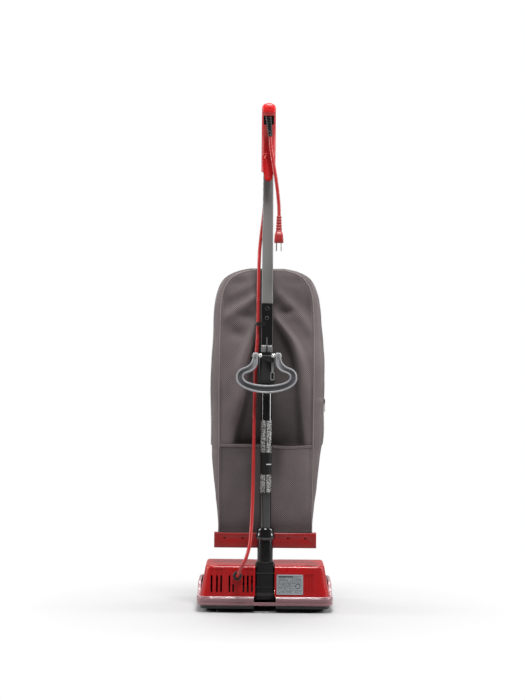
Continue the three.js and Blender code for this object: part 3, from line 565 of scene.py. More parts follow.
def make_bumper_vinyl():
    """Soft vinyl: smooth, a little see-through, paler where it is thin, with a painted highlight in blotches
    on the faces that look up.
    """
    paint = Paint("bumper_vinyl")
    drift = paint.spread(paint.noise(5, 2), 0.35, 0.65)
    bloom = paint.spread(paint.noise(60, 4, 0.6, paint.scaled(0.3, 0.3, 1)), 0.4, 0.75)
    facing_up = paint.add("SeparateXYZ", {"Vector": paint.add("NewGeometry").outputs["Normal"]}).outputs["Z"]
    # Painted highlight: faces that look up turn paler, in blotches.
    painted_top_highlight = paint.times(paint.spread(facing_up, 0.2, 0.9, 0.0, 0.7), paint.spread(bloom, 0, 1, 0.7, 1.0))
    body = paint.blend(drift, rgb(142, 100, 106), rgb(134, 92, 98))
    paint.set(
        Base_Color=paint.blend(painted_top_highlight, body, rgb(186, 150, 154)),
        Roughness=paint.spread(bloom, 0, 1, 0.24, 0.28),
        Subsurface_Weight=0.2,
        Subsurface_Radius=(0.006, 0.003, 0.003),
        Subsurface_Scale=1.0,
        Normal=paint.bump(paint.noise(900, 2), 0.008, 0.6),
        Coat_Weight=0.4,
        Coat_Roughness=0.12,
    )
    return paint.material


def make_rubber(name, colour, rough=0.55):
    """Rubber or soft PVC: matt, with mould sheen, dust in the grain and small pits."""
    paint = Paint(name)
    dust = paint.spread(paint.noise(170, 5, 0.7), 0.5, 0.75)
    pits = paint.add("TexVoronoi", {"Vector": paint.place, "Scale": 700.0}).outputs["Distance"]
    light = tuple(min(1.0, c * 1.8 + 0.01) for c in colour[:3]) + (1.0,)
    paint.set(
        Base_Color=paint.blend(paint.times(dust, 0.5), colour, light),
        Roughness=paint.spread(dust, 0, 1, rough - 0.06, rough + 0.12),
        Normal=paint.bump(pits, 0.03, 0.5, paint.bump(paint.noise(60, 2), 0.1, 0.4)),
    )
    return paint.material


def make_grained(name, light, dark, stretch, rough=0.5):
    """Wood, bristle or laminations: streaks along one axis."""
    paint = Paint(name)
    streaks = paint.noise(260, 5, 0.65, paint.scaled(*stretch), 0.4)
    paint.set(
        Base_Color=paint.blend(paint.spread(streaks, 0.35, 0.65, 0, 1), dark, light),
        Roughness=paint.spread(streaks, 0.3, 0.7, rough - 0.08, rough + 0.1),
        Normal=paint.bump(streaks, 0.08, 0.7),
    )
    return paint.material


def make_winding():
    """Enamelled copper wire, wound side by side."""
    paint = Paint("copper_wire")
    bands = {"Vector": paint.place, "Scale": 320.0, "Distortion": 0.6}
    turns = paint.add("TexWave", bands, bands_direction="X").outputs["Fac"]
    paint.set(
        Base_Color=paint.blend(turns, rgb(120, 58, 26), rgb(206, 122, 66)),
        Metallic=0.9,
        Roughness=0.34,
        Normal=paint.bump(turns, 0.3),
    )
    return paint.material


LOOKS = {
    "red_plastic": moulded("red_moulding", rgb(192, 20, 22), rgb(178, 17, 19), 0.4, 0.012),
    "black_plastic": moulded("black_moulding", rgb(13, 13, 14), rgb(8, 8, 9), 0.36, 0.02),
    "black_gloss_plastic": moulded("black_gloss", rgb(16, 16, 18), rgb(10, 10, 11), 0.2, 0.006, 0.5),
    "bumper_plastic": make_bumper_vinyl(),
    "grey_plastic": moulded("grey_moulding", rgb(92, 93, 95), rgb(76, 77, 80), 0.34, 0.05, 0.1, 60),
    "grey_paint": moulded("tube_enamel", rgb(122, 121, 120), rgb(114, 113, 112), 0.34, 0.006, 0.3, 8),
    "black_paint": moulded("black_enamel", rgb(13, 13, 14), rgb(8, 8, 9), 0.3, 0.02, 0.2),
    "plated_steel": metal("plated_steel", rgb(214, 214, 210), rgb(164, 164, 160), 0.24),
    "lamination_iron": make_grained("iron_laminations", rgb(120, 122, 124), rgb(58, 60, 62), (12, 0.4, 0.4)),
    "copper_winding": make_winding(),
    "plug_brass": metal("nickelled_brass", rgb(170, 160, 140), rgb(120, 110, 92), 0.28, (0.1, 1, 1)),
    "brush_wood": make_grained("beech", rgb(176, 134, 88), rgb(132, 92, 54), (0.05, 1, 1)),
    "bristle": make_grained("nylon_bristle", rgb(66, 66, 72), rgb(22, 22, 26), (1, 1, 1), 0.6),
    "black_rubber": make_rubber("black_rubber", rgb(20, 20, 21)),
    "red_cord": moulded("red_pvc", rgb(166, 46, 46), rgb(152, 40, 40), 0.24, 0.01),
    "silver_label": make_label(),
    "bag_cloth": make_cloth("bag_twill", rgb(124, 113, 113), rgb(60, 54, 55)),
    "filter_paper": make_grained("filter_paper", rgb(224, 214, 192), rgb(200, 188, 162), (1, 1, 1), 0.9),
}
# Paler twill for the piping and the zip tape: their own paler tone, with a painted rim highlight on top of
# it.
PIPING_TONE_AND_HIGHLIGHT = make_cloth("piping_twill_with_painted_highlight", rgb(150, 138, 137), rgb(96, 87, 87), 0.45)
# Painted shade: darker copies of the red moulding, one for the hood and the cord hook, and a darker one for
# the bag clip under the bag.
SHADED_RED = moulded("red_moulding_painted_shade", rgb(168, 15, 18), rgb(154, 13, 16), 0.3, 0.012)
DEEP_SHADED_RED = moulded("red_moulding_deep_painted_shade", rgb(142, 13, 15), rgb(126, 11, 13), 0.4, 0.012)
RIBBED_RUBBER = make_rubber("ribbed_rubber", rgb(30, 30, 32), 0.34)
SATIN_STEEL = metal("satin_steel", rgb(178, 178, 178), rgb(150, 150, 150), 0.42)
# Pale red for painted highlights on the hook's arch and moulding line.
HIGHLIGHT_RED = moulded("red_painted_highlight", rgb(232, 118, 104), rgb(222, 100, 90), 0.3, 0.01)
TUBE_PRINT = make_tube_print()
PLUG_RED = moulded("plug_moulding", rgb(150, 34, 34), rgb(138, 30, 30), 0.44, 0.01)
# Pale grey for painted highlights: the carrying handle's bead and ears, and the bracket's slit.
HIGHLIGHT_GREY = moulded("grey_painted_highlight", rgb(152, 152, 154), rgb(132, 132, 135), 0.34, 0.03, 0.0, 60)
THREAD = make_grained("thread", rgb(150, 138, 136), rgb(104, 94, 94), (1, 1, 1), 0.7)

# ---------------------------------------------------------------- cords


POWER_CORD_ROUTE = [
    (0.0040, -0.0520, 1.1460),
    (0.0040, -0.0520, 1.1340),
    (0.0046, -0.0520, 1.1220),
    (0.0060, -0.0522, 1.1100),
    (0.0080, -0.0524, 1.0970),
    (0.0103, -0.0526, 1.0840),
    (0.0127, -0.0528, 1.0710),
    (0.0150, -0.0530, 1.0580),
    (0.0172, -0.0530, 1.0450),
    (0.0192, -0.0530, 1.0320),
    (0.0210, -0.0528, 1.0190),
    (0.0226, -0.0526, 1.0060),
    (0.0240, -0.0523, 0.9930),
    (0.0252, -0.0521, 0.9800),
    (0.0260, -0.0520, 0.9670),
    (0.0262, -0.0520, 0.9545),
    (0.0262, -0.0520, 0.9460),
]

MOTOR_LEAD_ROUTE = [
    (-0.0060, 0.0200, 1.0636),
    (-0.0060, 0.0200, 1.0460),
    (-0.0064, 0.0198, 1.0200),
    (-0.0080, 0.0190, 0.9900),
    (-0.0110, 0.0175, 0.9550),
    (-0.0155, 0.0140, 0.9150),
    (-0.0190, 0.0090, 0.8800),
    (-0.0205, 0.0050, 0.8450),
    (-0.0213, 0.0020, 0.8000),
    (-0.0218, 0.0000, 0.7500),
    (-0.0220, -0.0010, 0.7000),
    (-0.0230, -0.0020, 0.6550),
    (-0.0255, -0.0030, 0.6200),
    (-0.0270, -0.0040, 0.5800),
    (-0.0280, -0.0050, 0.5300),
    (-0.0290, -0.0060, 0.4700),
    (-0.0295, -0.0072, 0.4000),
    (-0.0300, -0.0105, 0.3350),
    (-0.0310, -0.0180, 0.2800),
    (-0.0323, -0.0290, 0.2350),
    (-0.0342, -0.0425, 0.1980),
    (-0.0370, -0.0560, 0.1665),
    (-0.0463, -0.0703, 0.1333),
    (-0.0511, -0.0723, 0.1237),
    (-0.0558, -0.0711, 0.1139),
    (-0.0600, -0.0668, 0.1048),
    (-0.0632, -0.0597, 0.0971),
    (-0.0653, -0.0505, 0.0916),
    (-0.0660, -0.0400, 0.0887),
    (-0.0660, -0.0350, 0.0880),
]

CORD_DIAMETER = 0.0085


def route(points):
    """A route of the drawing, whose y is measured from the tilt axis, as a smooth path in the row frame."""
    return smooth_path([Vector((x, y + TILT_Y, z)) for x, y, z in points])


def make_power_cord():
    """The short cord that hangs from the grip to its plug."""
    path = route(POWER_CORD_ROUTE)
    tube = sweep(path, circle(CORD_DIAMETER * 500, 20))
    piece = place("power_cord_tube", tube, "handle", "red_cord", "power_cord")


def make_motor_lead():
    """The lead hangs on the handle, with a loop at its foot."""
    path = route(MOTOR_LEAD_ROUTE)
    tube = sweep(path, circle(CORD_DIAMETER * 500, 20))
    piece = new_piece("motor_lead_tube", *tube, LOOKS["red_cord"])
    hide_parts("motor_lead")
    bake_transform(piece)


def ribbed_boot(name, x, y, top, bottom, wide, narrow, ribs):
    """A tapered boot with round ribs, over a bore for the cord."""
    steps = ribs * 10
    profile = []
    for i in range(steps + 1):
        t = i / steps
        roll = abs(math.sin(math.pi * ribs * t)) ** 0.6
        profile.append((mix(wide, narrow, t) - 1.6 * (1 - roll), mix(top, bottom, t)))
    profile += [(CORD_DIAMETER * 500 + 0.1, bottom), (CORD_DIAMETER * 500 + 0.1, top)]
    return new_piece(name, *turned(profile, "Z", (x, y, 0), 40), RIBBED_RUBBER, 60)


RELIEF = {"x": 4, "y": -52, "top": 1189, "bottom": 1141, "lean": 0.11}
PLUG = {"x": 26.2, "y": -52, "top": 952, "shoulder": 912, "face": 887, "blade_tips": 867.2}


def make_cord_ends():
    """The strain relief, and the plug: a ribbed sleeve, a moulded body with a waist and two blades."""
    boot = ribbed_boot("relief_boot", RELIEF["x"], RELIEF["y"], RELIEF["top"], RELIEF["bottom"], 7.9, 5.6, 8)
    for vertex in boot.data.vertices:  # it leans towards the middle of the grip
        vertex.co.x -= RELIEF["lean"] * (vertex.co.z - RELIEF["bottom"] * MM)
    attach(boot, "handle", "black_rubber", "strain_relief")
    x, y = PLUG["x"], PLUG["y"]
    sleeve = ribbed_boot("plug_shell", x, y, PLUG["top"], PLUG["shoulder"] - 1, 5.8, 7.8, 6)
    body = []
    for z, half_x, half_y, inset in (
        (PLUG["face"], 10.2, 11.2, 4.6),
        (PLUG["face"] + 1.2, 11, 12, 5),
        (PLUG["face"] + 9, 11, 12, 5),
        (PLUG["face"] + 12, 10.3, 11.4, 5),
        (PLUG["face"] + 15, 10.6, 11.6, 5),
        (PLUG["shoulder"] - 5, 9.8, 10.6, 5.5),
        (PLUG["shoulder"] - 1, 8.6, 9.2, 6),
        (PLUG["shoulder"] + 1.5, 7.2, 7.4, 6),
    ):
        body.append([at(x + p.x, y + p.y, z) for p in rectangle(half_x, -half_y, half_y, inset)])
    sleeve.data.materials[0] = PLUG_RED
    attach(sleeve, "handle", "red_cord", "plug")
    place("plug_body", skin(body), "handle", "red_cord", look=PLUG_RED, smooth=50)
    blades = []
    for side, turn in ((-1, 14), (1, 3)):
        outline = [Vector((p.x, p.y)) for p in rectangle(3.1, PLUG["blade_tips"], PLUG["face"] + 0.6, 1.2)]
        verts, faces = prism(outline, "X", -0.8, 0.8)
        spin = Matrix.Rotation(math.radians(turn), 4, "Z")
        foot = at(x + side * 5.6, y, 0)
        blades.append(([spin @ (v - at(0, 0, 0)) + foot for v in verts], faces))
    blade_pair = new_piece("plug_blades", *merged(*blades), LOOKS["plug_brass"])
    bevelled(blade_pair, 0.25, 2)
    attach(blade_pair, "handle", "plug_brass", "plug_pins")


make_cord_ends()
make_power_cord()
make_motor_lead()

# ---------------------------------------------------------------- CAD nodes that stay


def smooth_by_angle():
    """A node group that forgets a solid's flat shading and keeps only its true edges sharp."""
    group = bpy.data.node_groups.new("smooth_by_angle", "GeometryNodeTree")
    group.interface.new_socket("Geometry", in_out="INPUT", socket_type="NodeSocketGeometry")
    group.interface.new_socket("Geometry", in_out="OUTPUT", socket_type="NodeSocketGeometry")
    start = group.nodes.new("NodeGroupInput")
    end = group.nodes.new("NodeGroupOutput")
    forget = group.nodes.new("GeometryNodeRemoveAttribute")
    forget.inputs["Name"].default_value = "custom_normal"
    faces = group.nodes.new("GeometryNodeSetShadeSmooth")
    faces.domain = "FACE"
    faces.inputs["Shade Smooth"].default_value = True
    edges = group.nodes.new("GeometryNodeSetShadeSmooth")
    edges.domain = "EDGE"
    edges.inputs["Shade Smooth"].default_value = False
    angle = group.nodes.new("GeometryNodeInputMeshEdgeAngle")
    compare = group.nodes.new("FunctionNodeCompare")
    compare.operation = "GREATER_THAN"
    compare.inputs[1].default_value = math.radians(32)
    group.links.new(angle.outputs["Unsigned Angle"], compare.inputs[0])
    group.links.new(compare.outputs["Result"], edges.inputs["Selection"])
    for a, b in ((start, forget), (forget, faces), (faces, edges), (edges, end)):
        group.links.new(a.outputs[0], b.inputs[0])
    return group


SMOOTH_BY_ANGLE = smooth_by_angle()

# Nodes whose moulded or pressed edges are rounded, by the edge's width in millimetres.
EDGE_WIDTHS = {
    0.2: ["rating_plate"],
    0.3: ["plug_pins"],
    0.4: ["dock_latch"],
    0.5: [
        "nozzle_plate",
        "plate_latch_left",
        "plate_latch_right",
        "bracket_plate",
        "bail_rod",
        "brush_tunnel",
    ],
    0.6: ["rivet_upper", "rivet_lower", "lead_clip"],
    0.7: ["switch_rocker"],
    0.8: ["chassis", "clamp_left", "clamp_right"],
    0.9: ["dock"],
    1.0: ["bag_clip", "fan_housing", "intake_duct", "end_bell_left", "end_bell_right"],
    1.5: ["cord_hook"],
    1.6: ["neck"],
}


def dress_cad_nodes():
    """Every CAD node takes its own finish and smooth round faces; the listed nodes also take small rounded
    edges.
    """
    widths = {name: width for width, names in EDGE_WIDTHS.items() for name in names}
    for name, node in NODES.items():
        node.material_slots[0].material = LOOKS[node.data.materials[0].name]
        add_modifier(node, "WELD", merge_threshold=0.00002)
        if name in widths:
            add_modifier(node, "DECIMATE", decimate_type="DISSOLVE", angle_limit=math.radians(1.5))
            size = {"width": widths[name] * MM, "segments": 2}
            add_modifier(node, "BEVEL", limit_method="ANGLE", angle_limit=math.radians(34), **size)
        add_modifier(node, "NODES", node_group=SMOOTH_BY_ANGLE)
    # Painted shade: the bag clip and the cord hook take the darker copies of the red moulding.
    for name, look in (("bag_clip", DEEP_SHADED_RED), ("cord_hook", SHADED_RED), ("dock_latch", SATIN_STEEL)):
        NODES[name].material_slots[0].material = look


dress_cad_nodes()

# ---------------------------------------------------------------- bag

# Height, half width at the seams, rear, front, and how far the side gusset swells past the seams.
BAG = [
    (166, 112, 35.0, 42.0, 4.0),
    (192, 112, 31.0, 48.0, 2.5),
    (212, 112, 26.0, 67.0, 3.0),
    (246, 112.5, 22.5, 98.0, 6.0),
    (323, 113.5, 21.0, 128.0, 14.0),
    (400, 114, 20.5, 141.0, 20.5),
    (470, 114.5, 20.0, 147.0, 24.0),
    (554, 115, 20.0, 150.0, 25.5),
    (650, 114.5, 20.0, 148.0, 21.5),
    (727, 112.5, 20.5, 143.0, 16.5),
    (760, 109.5, 22.0, 137.0, 14.5),
    (782, 103.5, 24.5, 130.0, 13.0),
    (798, 94, 29.0, 123.0, 11.5),
    (810, 82, 34.0, 116.0, 7.5),
    (818, 67, 39.0, 110.0, 5.0),
    (823, 50, 43.0, 106.0, 4.0),
    (825, 40, 45.0, 104.0, 3.5),
]
HEIGHT, SEAM, REAR, FRONT, SWELL = range(5)

# The rear panel hangs like a tent from the bracket: it falls away between two edges that spread down.
# Height, left edge, right edge, depth of the fall, height of the crest on each edge, width of the slope.
TENT = [
    (300, -90, 104, 0.0, 0.0, 30),
    (360, -90, 103, 15.0, 0.0, 30),
    (402, -88, 101, 27.0, 0.6, 28),
    (440, -80, 97, 26.0, 1.4, 26),
    (475, -70, 93, 24.0, 2.5, 25),
    (515, -60, 89, 21.0, 4.5, 23),
    (544, -55, 86, 19.0, 6.0, 21),
    (607, -47, 74, 16.0, 9.0, 17),
    (647, -36, 60, 13.5, 10.5, 14),
    (681, -26, 38, 9.5, 10.5, 11),
    (705, -20, 20, 4.0, 8.0, 9),
    (722, -17, 12, 0.0, 3.0, 8),
    (740, -15, 10, 0.0, 0.0, 8),
]
LEFT_EDGE, RIGHT_EDGE, FALL, CREST, SLOPE = 1, 2, 3, 4, 5

# Ridges of the slack panel outside the tent: both ends as (x, z), half width and height.
RIDGES = [
    ((-20, 766), (-104, 706), 13, 7.0),
    ((-24, 797), (-96, 760), 10, 2.5),
    ((22, 778), (110, 676), 15, 6.5),
    ((-34, 640), (-104, 540), 20, 3.0),
    ((62, 690), (110, 610), 14, 2.5),
]
# Hollows outside the tent: centre as (x, z), half width, half height and depth.
HOLLOWS = [
    ((46, 725), (20, 11), 6.5),
    ((20, 742), (12, 14), 4.0),
    ((-40, 712), (24, 12), 5.0),
    ((-72, 672), (22, 14), 5.0),
    ((-72, 796), (26, 12), 3.5),
    ((102, 726), (9, 30), 3.5),
    ((70, 800), (24, 10), 2.5),
]
POCKET_TOP = 402


def ridge_height(x, z, ends, half_width):
    """How much of a ridge is felt at a point: all of it on the line, fading to its sides and ends."""
    (x0, z0), (x1, z1) = ends
    run = Vector((x1 - x0, z1 - z0))
    along = (Vector((x, z)) - Vector((x0, z0))).dot(run) / run.length_squared
    nearest = Vector((x0, z0)) + run * min(max(along, 0), 1)
    away = (Vector((x, z)) - nearest).length
    spread = half_width * mix(0.7, 1.35, min(max(along, 0), 1))
    return bell(away, 0, spread) * between(along, -0.15, 0.12, 0.85, 1.2)


def tent_relief(x, z):
    """The fall inside the tent and the crests along its two edges."""
    if z > 745 or z < 290:
        return 0.0
    edge = table(TENT, z, RIGHT_EDGE) if x > -3 else -table(TENT, z, LEFT_EDGE)
    slope = table(TENT, z, SLOPE)
    past = abs(x + 3) - edge - (3 if x > -3 else -3)
    inside = 1 - smoothstep(-slope, 0, past)
    crest = bell(past, 7, 0.75 * slope)
    return table(TENT, z, CREST) * crest - table(TENT, z, FALL) * inside


def rear_relief(x, z):
    """How far the rear panel stands out to the rear, in millimetres. Hollows are below nought."""
    height = tent_relief(x, z)
    for start, end, half_width, amount in RIDGES:
        height += amount * ridge_height(x, z, (start, end), half_width)
    for (cx, cz), (wide, tall), depth in HOLLOWS:
        height -= depth * math.exp(-(((x - cx) / wide) ** 2) - ((z - cz) / tall) ** 2)
    slack = smoothstep(200, 330, z)
    broad = noise_at(x / 60, 3.1, z / 95)
    small = noise_at(x / 17 + z / 40, 7.7, z / 26)
    height += slack * (1.4 * broad + 0.6 * small)
    seam = table(BAG, z, SEAM)
    margin = 1 - smoothstep(seam - 13, seam, abs(x))
    clear_of_tube = max(smoothstep(12, 30, abs(x)), 1 - smoothstep(560, 700, z))
    out = height * mix(0.12, 1.0, margin)
    if out > 0:
        out *= mix(0.1, 1.0, clear_of_tube)
    return min(out, 9.5)


def rear_panel(x, z):
    """The rear panel's relief. Below the pocket's mouth it stays behind the pocket."""
    height = rear_relief(x, z)
    if z < POCKET_TOP + 2:
        height = min(height, pocket_relief(x, z) - 1.6)
    return height


def front_relief(x, z):
    """How far the front panel swells to the front: full in its middle, with slack folds below."""
    seam = table(BAG, z, SEAM)
    share = min(abs(x) / seam, 1)
    full = -13 * share**2.6 * smoothstep(180, 300, z) * (1 - 0.5 * smoothstep(780, 825, z))
    folds = 2.4 * math.sin(x / 19 + 1.4 * math.sin(z / 110)) * between(z, 200, 260, 330, 560)
    broad = 3.2 * noise_at(x / 70, 11.3, z / 90)
    small = 0.8 * noise_at(x / 18, 5.2, z / 24 + x / 60)
    return full + (folds + broad + small) * (1 - smoothstep(0.82, 1.0, share))


def gusset_swell(side, z, k):
    """The swell of a gusset across its width, k = 0 at the rear seam and 1 at the front seam."""
    arch = (1 - abs(2 * k - 1) ** 2.6) ** 0.62
    swell = table(BAG, z, SWELL)
    if side < 0:
        swell -= 5.0 * between(z, 360, 470, 640, 740)
    if side > 0:
        swell += 3.5 * bell(z, 425, 40) + 1.5 * bell(z, 610, 30)
        for level, depth, tall in ((518, 4.0, 3.5), (529, 2.5, 4.0), (503, -2.0, 6.0)):
            fade = bell(k, 0.08, 0.22)
            swell -= depth * bell(z, level, tall) * fade
    else:
        for level, depth, tall in ((507, 3.0, 3.0), (388, 3.5, 5.0), (470, -2.0, 30.0)):
            fade = bell(k, 0.1, 0.25)
            swell -= depth * bell(z, level, tall) * fade
    crease = 1.6 * bell(k, 0.2, 0.035) * between(z, 300, 420, 700, 760)
    ripple = 1.1 * noise_at(k * 5, side * 9.0, z / 34) * math.sin(math.pi * k)
    zip_bed = bell(k, 0.52, 0.12) * between(z, 380, 410, 610, 650)
    return swell * arch + (ripple - crease) * (1 - zip_bed)


def bag_levels():
    """The heights of the bag's rows, closer together towards its round top."""
    levels = [BAG[0][0] + 5.4 * i for i in range(112)]
    return levels + [772, 778, 784, 790, 795, 800, 804, 808, 811, 814, 817, 819.5, 821.5, 823.2, 824.4, 825]


BAG_LEVELS = bag_levels()
BAG_COLUMNS = 45
GUSSET_COLUMNS = 21


def panel_point(x_share, z, facing):
    """A point of the rear (-1) or front (+1) panel."""
    x = x_share * table(BAG, z, SEAM)
    if facing < 0:
        return at(x, table(BAG, z, REAR) - rear_panel(x, z), z)
    return at(x, table(BAG, z, FRONT) + front_relief(x, z), z)


def bag_border():
    """The (row, column) places of a panel's border: up its left side, over the top, down its right."""
    last_row, last_column = len(BAG_LEVELS) - 1, BAG_COLUMNS - 1
    left = [(row, 0) for row in range(last_row)]
    top = [(last_row, column) for column in range(BAG_COLUMNS)]
    right = [(row, last_column) for row in range(last_row - 1, -1, -1)]
    return left + top + right


def make_bag_shell():
    """The bag's skin: a rear and a front panel, and one gusset that runs up, over and down between."""
    verts, faces, grids = [], [], []
    for facing in (-1, 1):
        grid = []
        for z in BAG_LEVELS:
            shares = [2 * c / (BAG_COLUMNS - 1) - 1 for c in range(BAG_COLUMNS)]
            grid.append(list(range(len(verts), len(verts) + BAG_COLUMNS)))
            verts += [panel_point(share, z, facing) for share in shares]
        for low, high in zip(grid, grid[1:]):
            for c in range(BAG_COLUMNS - 1):
                faces.append((low[c], low[c + 1], high[c + 1], high[c]))
        grids.append(grid)
    border = bag_border()
    seams = [[verts[grid[row][column]].copy() for row, column in border] for grid in grids]
    last = len(border) - 1
    strips = []
    for i, (row, column) in enumerate(border):
        rear, front = (seam[i] for seam in seams)
        run = seams[0][min(i + 1, last)] - seams[0][max(i - 1, 0)]
        outward = Vector((-run.z, 0, run.x)).normalized()
        side = 1 if rear.x > 0 else -1
        strip = [grids[0][row][column]]
        for step in range(1, GUSSET_COLUMNS - 1):
            k = step / (GUSSET_COLUMNS - 1)
            swell = gusset_swell(side, BAG_LEVELS[row], k) * MM
            strip.append(len(verts))
            verts.append(rear.lerp(front, k) + outward * swell)
        strip.append(grids[1][row][column])
        strips.append(strip)
    for low, high in zip(strips, strips[1:]):
        for c in range(GUSSET_COLUMNS - 1):
            faces.append((low[c], low[c + 1], high[c + 1], high[c]))
    foot = [grids[0][0], grids[1][0]]
    for c in range(BAG_COLUMNS - 1):
        faces.append((foot[0][c], foot[0][c + 1], foot[1][c + 1], foot[1][c]))
    zip_line = [verts[strip[GUSSET_COLUMNS // 2]].copy() for strip in strips]
    return verts, faces, seams, zip_line


def shade_paint(piece, amount):
    """Painted shade: cloth is darker where shade falls, a share for each point, from its place in the
    drawing.
    """
    layer = piece.data.attributes.new("painted_shade", "FLOAT", "POINT")
    for vertex, value in zip(piece.data.vertices, layer.data):
        value.value = amount(vertex.co.x / MM, vertex.co.y / MM - TILT_Y / MM, vertex.co.z / MM)


def panel_painted_shade(x, y, z):
    """Painted shade on the rear panel: inside the tent above the pocket's mouth, in its hollows, towards its
    top away from the ridges, and along its side seams lower down.
    """
    if y > 60:
        return 0.0
    height = rear_relief(x, z)
    tent = smoothstep(1.0, 12.0, -tent_relief(x, z)) * smoothstep(395, 410, z)
    top = 0.32 * smoothstep(690, 760, z) * (1 - smoothstep(1.0, 6.0, height))
    hollow = 0.3 * smoothstep(0.0, 7.0, -height)
    seam = 0.4 * bell(abs(x), 111, 3) * between(z, 240, 300, 520, 580)
    return min(0.48 * tent + (hollow + top) * (1 - tent), 0.62) * (1 - smoothstep(103, 112, abs(x))) + seam


def pocket_painted_shade(x, y, z):
    """Painted shade on the pocket: its left half, a streak beside the tube that fades to the right, its foot
    and its seams.
    """
    left = 0.38 * (1 - smoothstep(-30, 0, x)) * (0.7 + 0.3 * smoothstep(250, 380, z))
    streak = 0.5 * bell(x, 26, 17) * smoothstep(250, 370, z)
    foot = 0.2 * (1 - smoothstep(170, 250, z))
    seam = 0.3 * bell(abs(x), 110, 3)
    return min(left + streak + foot + seam, 0.7)


def resampled(path, pitch):
    """Points a fixed distance apart along a path, in metres."""
    points, left = [path[0].copy()], pitch
    for a, b in zip(path, path[1:]):
        span = (b - a).length
        done = 0.0
        while span - done >= left:
            done += left
            left = pitch
            points.append(a.lerp(b, done / span))
        left -= span - done
    return points


def make_piping(name, path):
    # The piping takes the paler twill with its painted highlight.
    place(name, sweep(path, circle(1.3, 10)), "handle", "bag_cloth", look=PIPING_TONE_AND_HIGHLIGHT)


def make_stitches(name, lines):
    """Short raised threads along lines of (path, length, gap), in millimetres."""
    parts = []
    for path, length, gap in lines:
        points = resampled(path, (length + gap) * MM)
        for a, b in zip(points, points[1:]):
            heading = (b - a).normalized()
            end = a + heading * length * MM
            side = heading.cross(Vector((0, 1, 0)))
            side = side.normalized() if side.length > 0.2 else Vector((1, 0, 0))
            lift = heading.cross(side)
            middle = a.lerp(end, 0.5)
            around = ((side, 0.00045), (lift, 0.0004), (side, -0.00045), (lift, -0.0004))
            ring = [middle + direction * reach for direction, reach in around]
            verts = [a, *ring, end]
            faces = [(0, 1 + i, 1 + (i + 1) % 4) for i in range(4)]
            faces += [(5, 1 + (i + 1) % 4, 1 + i) for i in range(4)]
            parts.append((verts, faces))
    place(name, merged(*parts), "handle", "bag_cloth", look=THREAD, smooth=80)


def pocket_relief(x, z):
    """How far the pocket stands out: a full right half, a flatter left half, and a dip behind the tube."""
    mouth = bell(z, POCKET_TOP, 40)
    gape = 4.5 * bell(x, 72, 30) + 1.5 * bell(x, -58, 30)
    full = 6.0 * math.exp(-(((x - 78) / 34) ** 2) - ((z - 330) / 85) ** 2)
    dip = 4.0 * math.exp(-(((x - 24) / 16) ** 2) - ((z - 350) / 50) ** 2)
    slant = 1.6 * ridge_height(x, z, ((-100, 250), (-62, 360)), 22)
    ripple = 0.9 * noise_at(x / 26, 21.7, z / 48)
    edge = 1 - smoothstep(96, 112, abs(x))
    return 2.0 + (gape * mouth + full - dip + slant + ripple) * edge * smoothstep(168, 215, z)


def make_pocket():
    """A patch pocket over the foot of the rear panel, with a turned hem along its mouth."""
    levels = [170 + 6 * i for i in range(38)] + [396, 399, 402]
    count = 49
    grid = []
    for z in levels:
        row = []
        for c in range(count):
            x = (2 * c / (count - 1) - 1) * (table(BAG, z, SEAM) - 1.5)
            sag = 4.0 * bell(x, 55, 45) * smoothstep(360, POCKET_TOP, z)
            y = table(BAG, z, REAR) - pocket_relief(x, z)
            row.append(at(x, y, z - sag))
        grid.append(row)
    pocket = new_piece("bag_pocket", *skin(grid, caps=False, closed=False), LOOKS["bag_cloth"])
    add_modifier(pocket, "SOLIDIFY", thickness=0.0008, offset=0)
    baked(pocket)
    # The pocket takes its painted shade.
    shade_paint(pocket, pocket_painted_shade)
    attach(pocket, "handle", "bag_cloth")
    width = 2 * (table(BAG, 300, SEAM) - 1.5) * MM
    hem_rows = [(-7.0, 0.9), (-6.2, 1.3), (-0.8, 1.5), (0.4, 1.1), (0.5, 0.2), (-0.6, -0.2), (-6.8, 0.1)]
    mouth = grid[-1]
    rings = [[p + Vector((0, -out * MM, up * MM)) for up, out in hem_rows] for p in mouth]
    place("pocket_hem", skin(rings), "handle", "bag_cloth")
    return [[p + Vector((0, -0.0017, up * MM)) for p in mouth] for up in (-5.6, -1.6)]


def make_zip(line):
    """The zip runs up one gusset, over the top and down the other: two tapes and a row of moulded teeth."""
    path = [p for p in line if p.z > 0.395]
    half_tape = [(0.0022, 0.0010), (0.0105, 0.0009), (0.011, 0.0002)]
    section = [(-along, up) for along, up in reversed(half_tape)] + half_tape
    tape = []
    for i, point in enumerate(path):
        heading = heading_at(path, i)
        outward = Vector((-heading.z, 0, heading.x))
        tape.append([point + Vector((0, along, 0)) + outward * up for along, up in section])
    # The tape takes the paler twill with its painted highlight.
    place("zip_tape", skin(tape), "handle", "bag_cloth", look=PIPING_TONE_AND_HIGHLIGHT)
    teeth = []
    stops = resampled(path, 0.0026)
    for i, (a, b) in enumerate(zip(stops, stops[1:])):
        heading = (b - a).normalized()
        outward = Vector((-heading.z, 0, heading.x))
        middle = a + Vector((0, 0.0007 if i % 2 else -0.0007, 0))
        half_run, half_wide = heading * 0.00075, Vector((0, 0.0021, 0))
        corners = []
        for up in (0.0008, 0.0024):
            for s, w in ((-1, -1), (1, -1), (1, 1), (-1, 1)):
                corners.append(middle + outward * up + half_run * s + half_wide * w * (1 - up * 90))
        faces = [(3, 2, 1, 0), (4, 5, 6, 7), (0, 1, 5, 4), (1, 2, 6, 5), (2, 3, 7, 6), (3, 0, 4, 7)]
        teeth.append((corners, faces))
    place("zip_teeth", merged(*teeth), "handle", "black_plastic")


